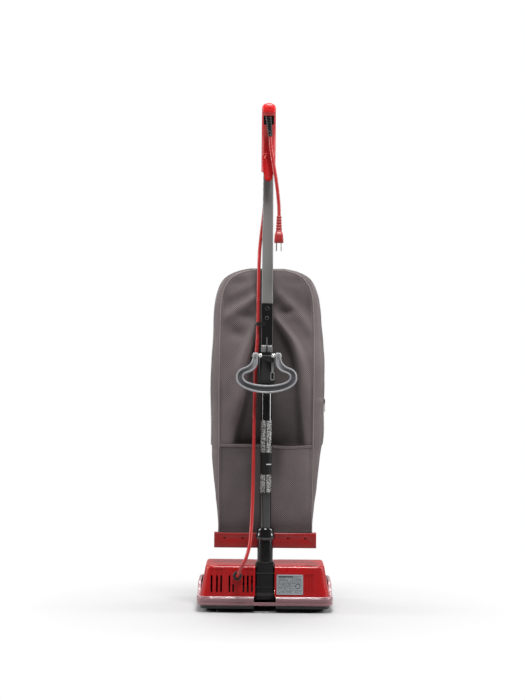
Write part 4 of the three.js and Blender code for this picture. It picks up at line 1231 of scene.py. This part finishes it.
def make_paper_bag():
    """The filter bag: crumpled paper that stays inside the outer bag."""
    low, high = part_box("paper_bag")
    bottom, top = low.z / MM, high.z / MM
    rings = []
    for step in range(61):
        z = mix(bottom, top, step / 60)
        end = min(1.0, (z - bottom) / 26, (top - z) / 34)
        close = math.sqrt(max(1 - (1 - end) ** 2, 0.02))
        half = min(88.0, table(BAG, z, SEAM) - 22) * mix(0.55, 1.0, close)
        ring = []
        for i in range(64):
            angle = 2 * math.pi * i / 64
            a, b = math.cos(angle), math.sin(angle)
            x = math.copysign(abs(a) ** 0.55, a) * half
            rear = table(BAG, z, REAR) - rear_relief(x, z) + 9
            front = table(BAG, z, FRONT) - 26
            middle = (rear + front) / 2
            share = math.copysign(abs(b) ** 0.6, b)
            depth = (front - rear) / 2 * mix(0.3, 1.0, close)
            crumple = 2.5 * noise_at(x / 14, share * 3, z / 17) + 2.0 * noise_at(x / 34, share, z / 40)
            pull = 1 - 0.03 * (1 + noise_at(share * 4, 9.1, z / 22))
            y = middle + share * depth * pull + (abs(crumple) if share < 0 else -abs(crumple))
            ring.append(at(x * pull, y, z))
        rings.append(ring)
    place("paper_bag_crumpled", skin(rings), "handle", "filter_paper", "paper_bag", smooth=28)


def make_bag():
    """The bag's skin, piping, pocket, stitches, zip and filter bag."""
    verts, faces, seams, zip_line = make_bag_shell()
    bag = new_piece("bag_skin", verts, faces, LOOKS["bag_cloth"], 70)
    add_modifier(bag, "SUBSURF", levels=1, render_levels=1)
    baked(bag)
    # The skin takes its painted shade.
    shade_paint(bag, panel_painted_shade)
    attach(bag, "handle", "bag_cloth", "outer_bag")
    for name, seam in zip(("piping_rear", "piping_front"), seams):
        make_piping(name, seam)
    hem_lines = make_pocket()
    rows = [(line, 2.6, 1.5) for line in hem_lines]
    for seam, out in zip(seams, (-1, 1)):
        centre = sum(seam, Vector()) / len(seam)
        inner = []
        for p in seam:
            inner.append(p + Vector(((centre.x - p.x) * 0.045, out * 0.0006, (centre.z - p.z) * 0.014)))
        rows.append((inner, 2.6, 1.5))
    make_stitches("bag_stitches", rows)
    make_zip(zip_line)
    make_paper_bag()


make_bag()

# ---------------------------------------------------------------- base

HOOD_TOP, HOOD_FOOT = 112.0, 39.0
HOOD_CORNER = 6.5
# The top of the hood: y and height, from the rear to the nose.
HOOD_RISE = [
    (-60, 112.0),
    (104, 112.0),
    (120, 111.8),
    (134, 110.4),
    (148, 104.6),
    (166, 94.0),
    (186, 82.2),
    (200, 75.6),
    (216, 70.0),
    (230, 65.6),
    (244, 61.4),
]


def even(outline, count):
    """A closed outline as evenly spaced points."""
    ring = [*outline, outline[0]]
    total = sum((b - a).length for a, b in zip(ring, ring[1:]))
    points, step, run = [], total / count, 0.0
    for a, b in zip(ring, ring[1:]):
        span = (b - a).length
        while len(points) < count and len(points) * step < run + span - 1e-9:
            points.append(a.lerp(b, (len(points) * step - run) / span))
        run += span
    return points


def plan_outline(half_width, rear, front, rear_radius, front_radius, count):
    """The base's outline seen from above, as evenly spaced points."""
    corners = [
        (-half_width, rear, rear_radius),
        (half_width, rear, rear_radius),
        (half_width, front, front_radius),
        (-half_width, front, front_radius),
    ]
    return even(rounded(corners, 10), count)


def inward_normals(outline):
    """The direction into a closed outline at each of its points."""
    count = len(outline)
    normals = []
    for i in range(count):
        run = outline[(i + 1) % count] - outline[i - 1]
        normals.append(Vector((-run.y, run.x)).normalized())
    return normals


def make_hood_shell():
    """A shell with drafted walls, one soft edge all round and a top that slopes down to the nose."""
    count = 264
    foot = plan_outline(156, -31, 240, 24, 29, count)
    crown = plan_outline(143, -21, 240, 22, 29, count)
    normals = inward_normals(foot)
    centre = Vector((0, 104))

    def wall(i, z):
        return foot[i].lerp(crown[i], (z - HOOD_FOOT) / (HOOD_TOP - HOOD_FOOT))

    def level(p, drop):
        return table(HOOD_RISE, p.y, 1) - drop

    rings = []
    for step in range(9):
        ring = []
        for i in range(count):
            z = mix(HOOD_FOOT, level(foot[i], HOOD_CORNER), step / 8)
            p = wall(i, z)
            ring.append(at(p.x, p.y, z))
        rings.append(ring)
    for step in range(1, 9):
        turn = math.radians(90 * step / 8)
        ring = []
        for i in range(count):
            z = level(foot[i], HOOD_CORNER * (1 - math.sin(turn)))
            p = wall(i, z) + normals[i] * HOOD_CORNER * (1 - math.cos(turn))
            ring.append(at(p.x, p.y, level(p, HOOD_CORNER * (1 - math.sin(turn)))))
        rings.append(ring)
    edge = [wall(i, level(foot[i], 0)) + normals[i] * HOOD_CORNER for i in range(count)]
    for share in (0.96, 0.9, 0.82, 0.72, 0.6, 0.46, 0.3, 0.14, 0.02):
        ring = []
        for p in edge:
            q = centre + (p - centre) * share
            ring.append(at(q.x, q.y, level(q, 0)))
        rings.append(ring)
    verts, faces = skin(rings)
    del faces[-2]  # the foot stays open
    # Painted shade: the hood takes a darker copy of the red moulding.
    hood = new_piece("hood_shell", verts, faces, SHADED_RED)
    add_modifier(hood, "SOLIDIFY", thickness=0.0024, offset=-1)
    return baked(hood)


def rear_face(z):
    """The y of the hood's leaning rear face at a height."""
    return -31 + (z - HOOD_FOOT) * 10 / (HOOD_TOP - HOOD_FOOT)


def cutter(name, *parts):
    """Closed parts as one piece that is cut out of another."""
    return new_piece(name, *merged(*parts), LOOKS["red_plastic"])


# The x of each opening in the hood's rear face, and of each closed groove beside the rating plate.
VENTS = [-128, -115, -105, -85, -51, -41, -31]
SHORT_VENT = -76
FLUTES = [98, 105.6, 113.2]
GROMMET = (-66, 88)
WHEEL = {"x": 128, "y": 4, "radius": 23, "half_width": 12}
BRUSH_AXIS = (205, 28)
BADGE = (113, -2)


def make_hood():
    """The hood with its way for the neck, shallow beds round the vents, blind grooves and the openings."""
    hood = make_hood_shell()
    neck_way = prism(rectangle(23.4, -60, 30, 3), "Z", 0, 130)
    flutes = []
    for x in VENTS + FLUTES:
        if abs(x - GROMMET[0]) < 22:
            continue
        low, high, depth, half = (49, 92, 2.1, 2.2) if x in FLUTES else (46, 104, 1.5, 3.4)
        side = [
            Vector((-60, low)),
            Vector((rear_face(low) + depth, low)),
            Vector((rear_face(high) + depth, high)),
            Vector((-60, high)),
        ]
        flutes.append(prism(side, "X", x - half, x + half))
    carved(hood, cutter("cut_a", neck_way, *flutes))
    slots = [prism([p + Vector((x, 0)) for p in rectangle(2.1, 49, 89, 2)], "Y", -60, -8) for x in VENTS]
    slots.append(prism([p + Vector((SHORT_VENT, 0)) for p in rectangle(2.1, 49, 68, 2)], "Y", -60, -8))
    grommet_hole = turned([(9, -30), (9, 20)], "Y", (GROMMET[0], -30, GROMMET[1]), 32, loop=False)
    carved(hood, cutter("cut_b", *slots, grommet_hole))
    attach(hood, "base", "red_plastic", "hood")


def make_bumper():
    """A soft rail round the base, with a rolled lip, two ribs and a ledge that rises past the wheels."""
    count = 260
    outline = plan_outline(165, -34, 250, 34, 34, count)
    normals = inward_normals(outline)
    rings = []
    for p, n in zip(outline, normals):
        top = mix(39, 60, smoothstep(70, 118, p.y))
        section = [
            (8, 17),
            (3, 17),
            (1.2, 18.2),
            (0.6, 20),
            (0.5, 24),
            (1.0, 25.2),
            (1.0, 26.4),
            (0.2, 27.6),
            (0, mix(27.6, top, 0.5)),
            (0.3, top - 4.2),
            (1.3, top - 3.2),
            (1.3, top - 2.4),
            (0.7, top - 1.6),
            (1.4, top - 0.5),
            (2.6, top),
            (6.8, top),
            (8, top - 0.8),
        ]
        rings.append([at(p.x + n.x * inset, p.y + n.y * inset, z) for inset, z in section])
    bumper = new_piece("bumper_rail", *skin(rings, loop=True), LOOKS["bumper_plastic"], 50)
    sill = prism(rectangle(26.5, -50, 0, 2), "Z", 25, 45)
    carved(bumper, cutter("cut_sill", sill))
    attach(bumper, "base", "bumper_plastic", "bumper")


def make_wheels():
    """Two wheels with a grooved tread and a dished face."""
    radius, half = WHEEL["radius"], WHEEL["half_width"]
    tread = [(radius - 1.4, -half + 0.2), (radius - 0.3, -half + 1.2), (radius, -half + 2.4)]
    for groove in (-5.4, 0, 5.4):
        tread += [(radius, groove - 1.5), (radius - 0.9, groove - 0.9)]
        tread += [(radius - 0.9, groove + 0.9), (radius, groove + 1.5)]
    tread += [(radius, half - 2.4), (radius - 0.3, half - 1.2), (radius - 1.4, half - 0.2)]
    flank = [(20, half), (19, half - 2), (15, half - 2), (14, half - 0.2)]
    flank += [(7.2, half), (6.6, half - 0.6), (4.5, half - 0.6)]
    profile = [(r, -w) for r, w in reversed(flank)] + tread + flank
    for side, name in ((-1, "left"), (1, "right")):
        tyre = turned(profile, "X", (side * WHEEL["x"], WHEEL["y"], radius), 64)
        node = f"rear_wheel_{name}"
        place(f"wheel_tyre_{name}", tyre, f"wheel_{name}", "black_rubber", node, smooth=28)


def make_grommet():
    """A rubber ring with a collar on each side of the wall, square to the leaning face."""
    x, z = GROMMET
    lean = Matrix.Rotation(-math.atan(10 / 73), 4, "X")
    profile = [(4.7, -9.2), (6, -10), (9.6, -9.8), (11, -8.4), (11, -6.4), (9.4, -5.6)]
    profile += [(8.6, -4.4), (8.6, 3), (10.4, 4), (10.4, 5.6), (4.7, 5.6)]
    verts, faces = turned(profile, "Y", (0, 0, 0), 48)
    centre = at(x, rear_face(z), z)
    verts = [lean @ (v - at(0, 0, 0)) + centre for v in verts]
    place("grommet_ring", (verts, faces), "base", "black_rubber", "lead_grommet")


def make_badge():
    """A plain oval rim on the hood's rear right corner."""
    rings = []
    for half_x, half_y, z in ((17, 6.5, 111.5), (17, 6.5, 113.0), (15, 4.9, 113.2), (15, 4.9, 112.6)):
        turns = [i / 24 * math.pi for i in range(48)]
        oval = [Vector((half_x * math.cos(a), half_y * math.sin(a))) for a in turns]
        rings.append([at(BADGE[0] + p.x, BADGE[1] + p.y, z) for p in oval])
    place("badge_rim", skin(rings), "base", "plated_steel", smooth=30)


def make_bristles():
    """Tufts of bristle that wind half a turn round the brush roll, in two rows."""
    y, z = BRUSH_AXIS
    for name, start in (("front", 0.0), ("rear", math.pi)):
        parts = []
        tufts = 44
        for i in range(tufts):
            t = (i + 0.5) / tufts
            x = mix(-127, 112, t)
            angle = start + t * math.pi
            out = Vector((0, math.cos(angle), math.sin(angle)))
            side = Vector((0, -math.sin(angle), math.cos(angle)))
            rings = []
            for radius, spread in ((16.2, 1.3), (18.5, 1.5), (22.2, 2.5), (22.9, 2.4)):
                ring = []
                for k in range(8):
                    turn = 2 * math.pi * k / 8
                    ragged = 1 + 0.18 * noise_at(x, radius, k)
                    offset = Vector((math.cos(turn), 0, 0)) * spread * ragged
                    p = out * radius + (offset + side * math.sin(turn) * spread * ragged)
                    ring.append(at(x + p.x, y + p.y, z + p.z))
                rings.append(ring)
            parts.append(skin(rings))
        place(f"bristle_tufts_{name}", merged(*parts), "brush", "bristle", f"bristle_row_{name}", smooth=60)


make_hood()
make_bumper()
make_wheels()
make_grommet()
make_badge()
make_bristles()

# ---------------------------------------------------------------- neck, collar and fill tube


def make_collar():
    """The waisted collar that clamps the fill tube in the neck."""
    profile = [
        (13.8, 173),
        (20.4, 173),
        (22.4, 173.8),
        (23.4, 176),
        (23.6, 180),
        (23.3, 183.5),
        (22.3, 187),
        (21.4, 190),
        (20.9, 194),
        (20.4, 198),
        (19.4, 200.6),
        (17.4, 202),
        (13.8, 202),
    ]
    shape = turned(profile, "Z", (0, 0, 0), 72)
    place("collar_ring", shape, "handle", "black_gloss_plastic", "collar", smooth=55)


def make_fill_tube():
    """The glossy tube that carries the dust up into the bag."""
    profile = [(12, 142), (13.2, 141.4), (13.5, 142.4), (13.5, 559.4), (13.2, 560), (12, 560)]
    shape = turned(profile, "Z", (0, 0, 0), 72)
    place("fill_tube_pipe", shape, "handle", "black_gloss_plastic", "fill_tube", smooth=50)


def make_tube_label():
    """A wrap of printed film on the side of the fill tube that faces the user."""
    reach = math.radians(TUBE_LABEL["reach"])
    angles = [mix(-reach, reach, i / 32) - math.pi / 2 for i in range(33)]
    rings = []
    for z in (TUBE_LABEL["low"], TUBE_LABEL["high"]):
        ring = []
        for radius, turns in ((TUBE_LABEL["outside"], angles), (TUBE_LABEL["inside"], reversed(angles))):
            ring += [at(radius * math.cos(a), radius * math.sin(a), z) for a in turns]
        rings.append(ring)
    place("tube_label", skin(rings), "handle", "silver_label", look=TUBE_PRINT, smooth=50)


def make_neck_sleeve():
    """The neck's round upper part has a glossy sleeve with a low bead at its foot."""
    profile = [(18.6, 119.5), (19.4, 119.5), (19.6, 120.6), (19.3, 122)]
    profile += [(18.95, 124), (18.95, 171), (18.6, 172)]
    place("neck_sleeve", turned(profile, "Z", (0, 0, 0), 72), "handle", "black_gloss_plastic", smooth=50)
    for z, half, name in ((94, 1.6, "upper"), (60.5, 0.7, "lower")):
        shape = prism(rectangle(22.5, z - half, z + half, 0.5), "Y", -19.7, -18.4)
        place(f"neck_rib_{name}", shape, "handle", "black_plastic")


make_collar()
make_fill_tube()
make_tube_label()
make_neck_sleeve()

# ---------------------------------------------------------------- handle tube and carrying handle


def make_tube():
    """The grey handle tube, a soft rectangle that narrows towards the grip."""
    rings = []
    for z in (642, 643, 700, 800, 900, 1000, 1119, 1120):
        t = (z - 642) / (1120 - 642)
        inset = 0.5 if z in (642, 1120) else 0
        half_x, half_y = mix(14, 12.2, t) - inset, mix(10, 9, t) - inset
        rings.append([at(p.x, p.y, z) for p in rectangle(half_x, -half_y, half_y, 3.4, 8)])
    place("tube_section", skin(rings), "handle", "grey_paint", "handle_tube", smooth=50)


def bezier(steps, *controls):
    """Points of a Bezier curve with three or four (x, z) controls, all but its last point."""
    p = [Vector(control) for control in controls]
    points = []
    for t in (i / steps for i in range(steps)):
        if len(p) == 3:
            points.append(p[0] * (1 - t) ** 2 + p[1] * 2 * t * (1 - t) + p[2] * t * t)
        else:
            near = p[0] * (1 - t) ** 3 + p[1] * 3 * t * (1 - t) ** 2
            points.append(near + p[2] * 3 * t * t * (1 - t) + p[3] * t**3)
    return points


def carry_outline():
    """The right half of the carrying handle's outline: up its outside to the ear, and back inside."""
    outer = bezier(14, (0, -90), (22, -90), (54, -84), (68, -68))
    outer += bezier(12, (68, -68), (78, -56), (74, -34), (55, -29))
    outer += bezier(8, (55, -29), (33.5, -22), (33.5, 0))
    ear = [Vector((27.5 + 6 * math.cos(a * math.pi / 8), 6 * math.sin(a * math.pi / 8))) for a in range(8)]
    inner = [Vector((21.5, 0))]
    inner += bezier(8, (21.5, -18), (26, -38), (48, -42))
    inner += bezier(8, (48, -42), (60, -46), (56, -58), (48, -62))
    inner += bezier(10, (48, -62), (34, -69), (14, -71), (0, -71))
    return outer + ear + inner + [Vector((0, -71))]


# The y and z of the rod that the carrying handle hangs on.
BAIL = (-27, 617.5)


def make_web_look(rod):
    """Grey moulding with a painted highlight: paler on the arms, up to the rod."""
    paint = Paint("carry_web_moulding")
    height = paint.add("SeparateXYZ", {"Vector": paint.place}).outputs["Z"]
    # Painted highlight: the arms grow paler with height towards the rod.
    highlight_height = paint.plus(height, paint.times(paint.noise(90, 4), 0.01))
    painted_highlight = paint.spread(highlight_height, (rod - 36) * MM, (rod - 8) * MM, 0.0, 0.85)
    mottle = paint.blend(paint.noise(60, 4), rgb(84, 85, 88), rgb(72, 73, 76))
    paint.set(
        Base_Color=paint.blend(painted_highlight, mottle, rgb(158, 158, 160)),
        Roughness=paint.spread(painted_highlight, 0, 1, 0.38, 0.3),
        Normal=paint.bump(paint.noise(1500, 2), 0.04),
    )
    return paint.material


def make_carry_handle():
    """A flat web with a raised round bead along both of its edges, and an ear on each side of the rod."""
    y, z = BAIL
    right = carry_outline()
    outline = right + [Vector((-p.x, p.y)) for p in reversed(right[1:-1])]
    web = prism([Vector((p.x, p.y + z)) for p in outline], "Y", y - 4.6, y + 4.6)
    plate = new_piece("carry_web", *web, make_web_look(z), 30)
    bore = turned([(3.2, -60), (3.2, 60)], "X", (0, y, z), 24, loop=False)
    carved(plate, cutter("cut_rod", bore))
    attach(plate, "carry", "grey_plastic", "carry_handle")
    loop = [at(p.x, y, p.y + z) for p in even(outline, 300)]
    inset = []
    for i, point in enumerate(loop):
        run = (loop[(i + 1) % len(loop)] - loop[i - 1]).normalized()
        inset.append(point + Vector((-run.z, 0, run.x)) * 0.0019)
    section = [(a * MM, b * MM) for a, b in rectangle(2.2, -8, 8, 2.1, 5)]
    bead = sweep(inset, section, loop=True)
    # Painted highlight: the bead is a paler grey than the web.
    place("carry_bead", bead, "carry", "grey_plastic", look=HIGHLIGHT_GREY, smooth=50)
    profile = [(3.1, 21.6), (6.4, 21.6), (7.2, 22.6), (7.2, 32.6), (6.2, 33.4), (3.1, 33.4)]
    ears = []
    for side in (-1, 1):
        ears.append(turned([(r, side * w) for r, w in profile][::side], "X", (0, y, z), 32))
    # Painted highlight: the ears are pale grey too.
    place("carry_ears", merged(*ears), "carry", "grey_plastic", look=HIGHLIGHT_GREY)


make_tube()
make_carry_handle()

# ---------------------------------------------------------------- grip

# The grip's spine: y, z, half width and half depth.
GRIP = [
    (0, 1061, 17, 14.5),
    (0, 1111, 17, 14.5),
    (-5, 1149, 17, 15),
    (-22, 1182, 16.9, 15.2),
    (-44, 1199, 16.6, 15),
    (-56, 1203, 16.3, 14.8),
    (-68, 1203, 16.0, 14.5),
]


def soft_ring(centre, heading, half_width, half_depth, count=56, power=2.8, upper_power=None):
    """A ring of a soft rectangle, square to its heading in the YZ plane. Its upper half may be rounder."""
    outward = Vector((0, heading.z, -heading.y))
    ring = []
    for i in range(count):
        angle = 2 * math.pi * i / count
        a, b = math.cos(angle), math.sin(angle)
        softness = 2 / (upper_power if upper_power and b > 0 else power)
        u = math.copysign(abs(a) ** softness, a) * half_width * MM
        v = math.copysign(abs(b) ** softness, b) * half_depth * MM
        ring.append(centre + Vector((u, 0, 0)) + outward * v)
    return ring


def make_grip():
    """The bent grip, with a slot for the switch and a recess for the strain relief that is lined in black as
    painted shade.
    """
    per_span = 6
    spine = smooth_path([at(0, y, z) for y, z, _, _ in GRIP], per_span)
    rings = []
    for i, point in enumerate(spine):
        row = min(i // per_span, len(GRIP) - 2)
        share = i / per_span - row
        half_width, half_depth = (mix(GRIP[row][k], GRIP[row + 1][k], share) for k in (2, 3))
        rings.append(soft_ring(point, heading_at(spine, i), half_width, half_depth))
    middle = sum(rings[0], Vector()) / len(rings[0])
    lip = [middle + (p - middle) * 0.93 for p in rings[0]]
    rings[0] = [p + Vector((0, 0, 0.0012)) for p in rings[0]]
    grip = new_piece("grip_body", *skin([lip, *rings]), LOOKS["red_plastic"], 50)
    slot = prism(rectangle(5.9, 1086.5, 1109.5, 1), "Y", 8, 30)
    recess = prism(rectangle(12.6, 1160, 1196, 4), "Y", -66.5, -41)
    carved(grip, cutter("cut_grip", slot, recess))
    attach(grip, "handle", "red_plastic", "grip")
    # Painted shade: a black sheet at the inner end of the recess.
    shade_liner = prism(rectangle(12.3, 1170, 1195.6, 3.6), "Y", -43.5, -41.2)
    place("grip_recess_shade_liner", shade_liner, "handle", "black_plastic")
    boss = turned([(1, -29.6), (6.4, -29.6), (7, -29), (7, -13), (1, -13)], "Y", (0, 0, 1098), 40)
    gland = turned([(4.4, 1084), (6.5, 1083), (6.5, 1066), (6, 1064), (4.4, 1064)], "Z", (-6, 20, 0), 40)
    web = prism([p - Vector((6, 0)) for p in rectangle(4, 12.5, 17, 0.6)], "Z", 1064.5, 1083)
    place("grip_bosses", merged(boss, gland, web), "handle", "red_plastic")


def make_hook_lines():
    """A rolled edge that arches over the hook's tongue, and the moulding line across the grip above it, both
    pale red as a painted highlight.
    """
    turns = [a * math.pi / 16 for a in range(17)]
    arch = [at(9.5 * math.cos(a), -36.6, 1090 + 9.5 * math.sin(a)) for a in turns]
    place("hook_arch", sweep(smooth_path(arch, 2), circle(1.1, 10)), "hook", "red_plastic", look=HIGHLIGHT_RED)
    line = [at(x, -36.4, 1101) for x in range(-12, 2, 2)]
    place("hook_line", sweep(line, circle(0.9, 10)), "hook", "red_plastic", look=HIGHLIGHT_RED)


def make_bracket():
    """The black plate on the tube, nearly as wide as the tube, with turned edges and a slit at its foot."""
    rivets = (708, 731)
    cover = prism(rectangle(13.2, 643.5, 744, 1.6), "Y", -12.6, -10.9)
    plate = new_piece("bracket_cover", *cover, LOOKS["black_paint"])
    holes = [turned([(2.9, -20), (2.9, 0)], "Y", (0, 0, z), 24, loop=False) for z in rivets]
    slit = prism(rectangle(0.7, 600, 662, 0.2), "Y", -20, 0)
    carved(plate, cutter("cut_bracket", *holes, slit))
    bevelled(plate, 0.4, 2)
    attach(plate, "handle", "black_paint", "bracket_plate")
    profile = [(2.7, -12.7), (2.7, -13.4), (3.4, -14.2), (4.3, -13.6), (4.6, -12.7)]
    rings = [turned(profile, "Y", (0, 0, z), 32) for z in rivets]
    place("rivet_rings", merged(*rings), "handle", "plated_steel", look=SATIN_STEEL)
    # Painted glint: a pale strip along the slit.
    glint = prism(rectangle(0.6, 644, 661, 0.2), "Y", -12.2, -10.95)
    place("slit_painted_glint", glint, "handle", "plated_steel", look=HIGHLIGHT_GREY)


def make_clamps():
    """Two satin steel blocks that pinch the rod, side by side."""
    for side, name in ((-1, "left"), (1, "right")):
        outline = [p + Vector((side * 7.4, 0)) for p in rectangle(5.9, 625.6, 641.5, 1.2)]
        block = new_piece(f"clamp_block_{name}", *prism(outline, "Y", -14, -6), SATIN_STEEL)
        bevelled(block, 0.8, 3)
        attach(block, "handle", "plated_steel", f"clamp_{name}")


def make_grip_cap():
    """The grip's rounded end: how far each ring lies along it, and how far in from the grip's own size."""
    y, z, half_width, half_depth = GRIP[-1]
    rows = [(0.5, 0.9), (1.2, 0), (5, -0.1), (9, 0), (11.2, 0.5), (13, 1.5), (14.5, 3)]
    rows += [(15.6, 4.9), (16.4, 7.2), (16.9, 10), (17, 12.6)]
    rings = []
    for along, inset in rows:
        size = (half_width + 0.6 - inset, half_depth + 0.5 - inset)
        rings.append(soft_ring(at(0, y - along, z), Vector((0, -1, 0)), *size, power=3.4, upper_power=2.25))
    place("grip_end", skin(rings), "handle", "red_plastic", "grip_cap", smooth=60)
    screw = turned([(0.2, -85.5), (0.9, -85.5), (1.1, -85.1), (1.1, -83)], "Y", (2, 0, 1205), 20, loop=False)
    place("grip_screw", screw, "handle", "black_plastic")


make_grip()
make_grip_cap()
make_hook_lines()
make_bracket()
make_clamps()

# ---------------------------------------------------------------- zip pull


def make_zip_pull():
    """The slider's body, its bridge and a flat tab that hangs from it."""
    y, z = 86, 506
    blocks = []
    for inner, outer, half_width, low, high in (
        (141.4, 143.8, 4, -6, 6),
        (143.8, 144.6, 1.2, -4.5, 4.5),
        (143.2, 144.4, 3, -26, -5.5),
    ):
        outline = [Vector((y + p.x, z + p.y)) for p in rectangle(half_width, low, high, half_width * 0.6)]
        blocks.append(prism(outline, "X", inner, outer))
    pull = new_piece("zip_pull", *merged(*blocks), LOOKS["black_plastic"])
    bevelled(pull, 0.3, 2)
    attach(pull, "slider", "black_plastic", "zip_slider")


make_zip_pull()

# ---------------------------------------------------------------- floor and light


FLOOR_RADIUS = 2.6


def make_floor():
    """A pale floor that melts into the pale surroundings."""
    turns = [i * math.pi / 48 for i in range(96)]
    ring = [Vector((FLOOR_RADIUS * math.cos(a), FLOOR_RADIUS * math.sin(a), 0)) for a in turns]
    paint = Paint("studio_floor")
    reach = paint.add("VectorMath", {0: paint.place}, operation="LENGTH").outputs["Value"]
    tone = paint.noise(6, 3)
    glow = paint.add("Emission", {"Color": (1, 1, 1, 1), "Strength": 1.0})
    share = paint.spread(reach, 0.15, 0.6)
    paint.set(Base_Color=paint.blend(tone, (0.42, 0.42, 0.42, 1), (0.45, 0.45, 0.45, 1)), Roughness=0.6)
    fade = paint.add("MixShader", {0: share, 1: paint.surface.outputs["BSDF"], 2: glow.outputs["Emission"]})
    paint.tree.links.new(fade.outputs["Shader"], paint.tree.nodes["Material Output"].inputs["Surface"])
    floor = new_piece("studio_floor", ring, [tuple(range(96))], paint.material)
    floor.location.z = -0.0004


def make_surroundings():
    """White all round for the camera. For light, the far side is brighter than the near side."""
    world = bpy.data.worlds.new("studio")
    bpy.context.scene.world = world
    world.use_nodes = True
    tree = world.node_tree
    nodes, links = tree.nodes, tree.links
    background = nodes["Background"]
    direction = nodes.new("ShaderNodeTexCoord").outputs["Generated"]
    split = nodes.new("ShaderNodeSeparateXYZ")
    links.new(direction, split.inputs[0])
    ramp = nodes.new("ShaderNodeMapRange")
    for index, value in enumerate((-0.55, 0.35, 0.09, 0.4), start=1):
        ramp.inputs[index].default_value = value
    links.new(split.outputs["Y"], ramp.inputs["Value"])
    seen = nodes.new("ShaderNodeLightPath").outputs["Is Camera Ray"]
    pick = nodes.new("ShaderNodeMix")
    links.new(seen, pick.inputs[0])
    links.new(ramp.outputs["Result"], pick.inputs[2])
    pick.inputs[3].default_value = 1.0
    links.new(pick.outputs[0], background.inputs["Strength"])
    background.inputs["Color"].default_value = (1, 1, 1, 1)


def add_softbox(name, position, target, size, power):
    """A soft rectangle of light that faces a target."""
    data = bpy.data.lights.new(name, "AREA")
    data.shape = "RECTANGLE"
    data.size, data.size_y = size
    data.energy = power
    lamp = bpy.data.objects.new(name, data)
    lamp.location = position
    lamp.rotation_euler = (Vector(target) - Vector(position)).to_track_quat("-Z", "Y").to_euler()
    bpy.context.scene.collection.objects.link(lamp)


make_floor()
make_surroundings()
add_softbox("softbox_left", (-2.2, 0.0, 1.5), (0, 0, 0.75), (0.6, 1.7), 38)
add_softbox("softbox_right", (2.2, 0.0, 1.5), (0, 0, 0.75), (0.6, 1.7), 38)
add_softbox("softbox_key", (0.15, -1.1, 3.0), (0, 0, 0.9), (0.9, 0.6), 105)
add_softbox("softbox_back", (0.0, 1.5, 2.5), (0, 0, 0.4), (1.6, 0.8), 36)
bpy.context.scene.view_settings.view_transform = "Standard"
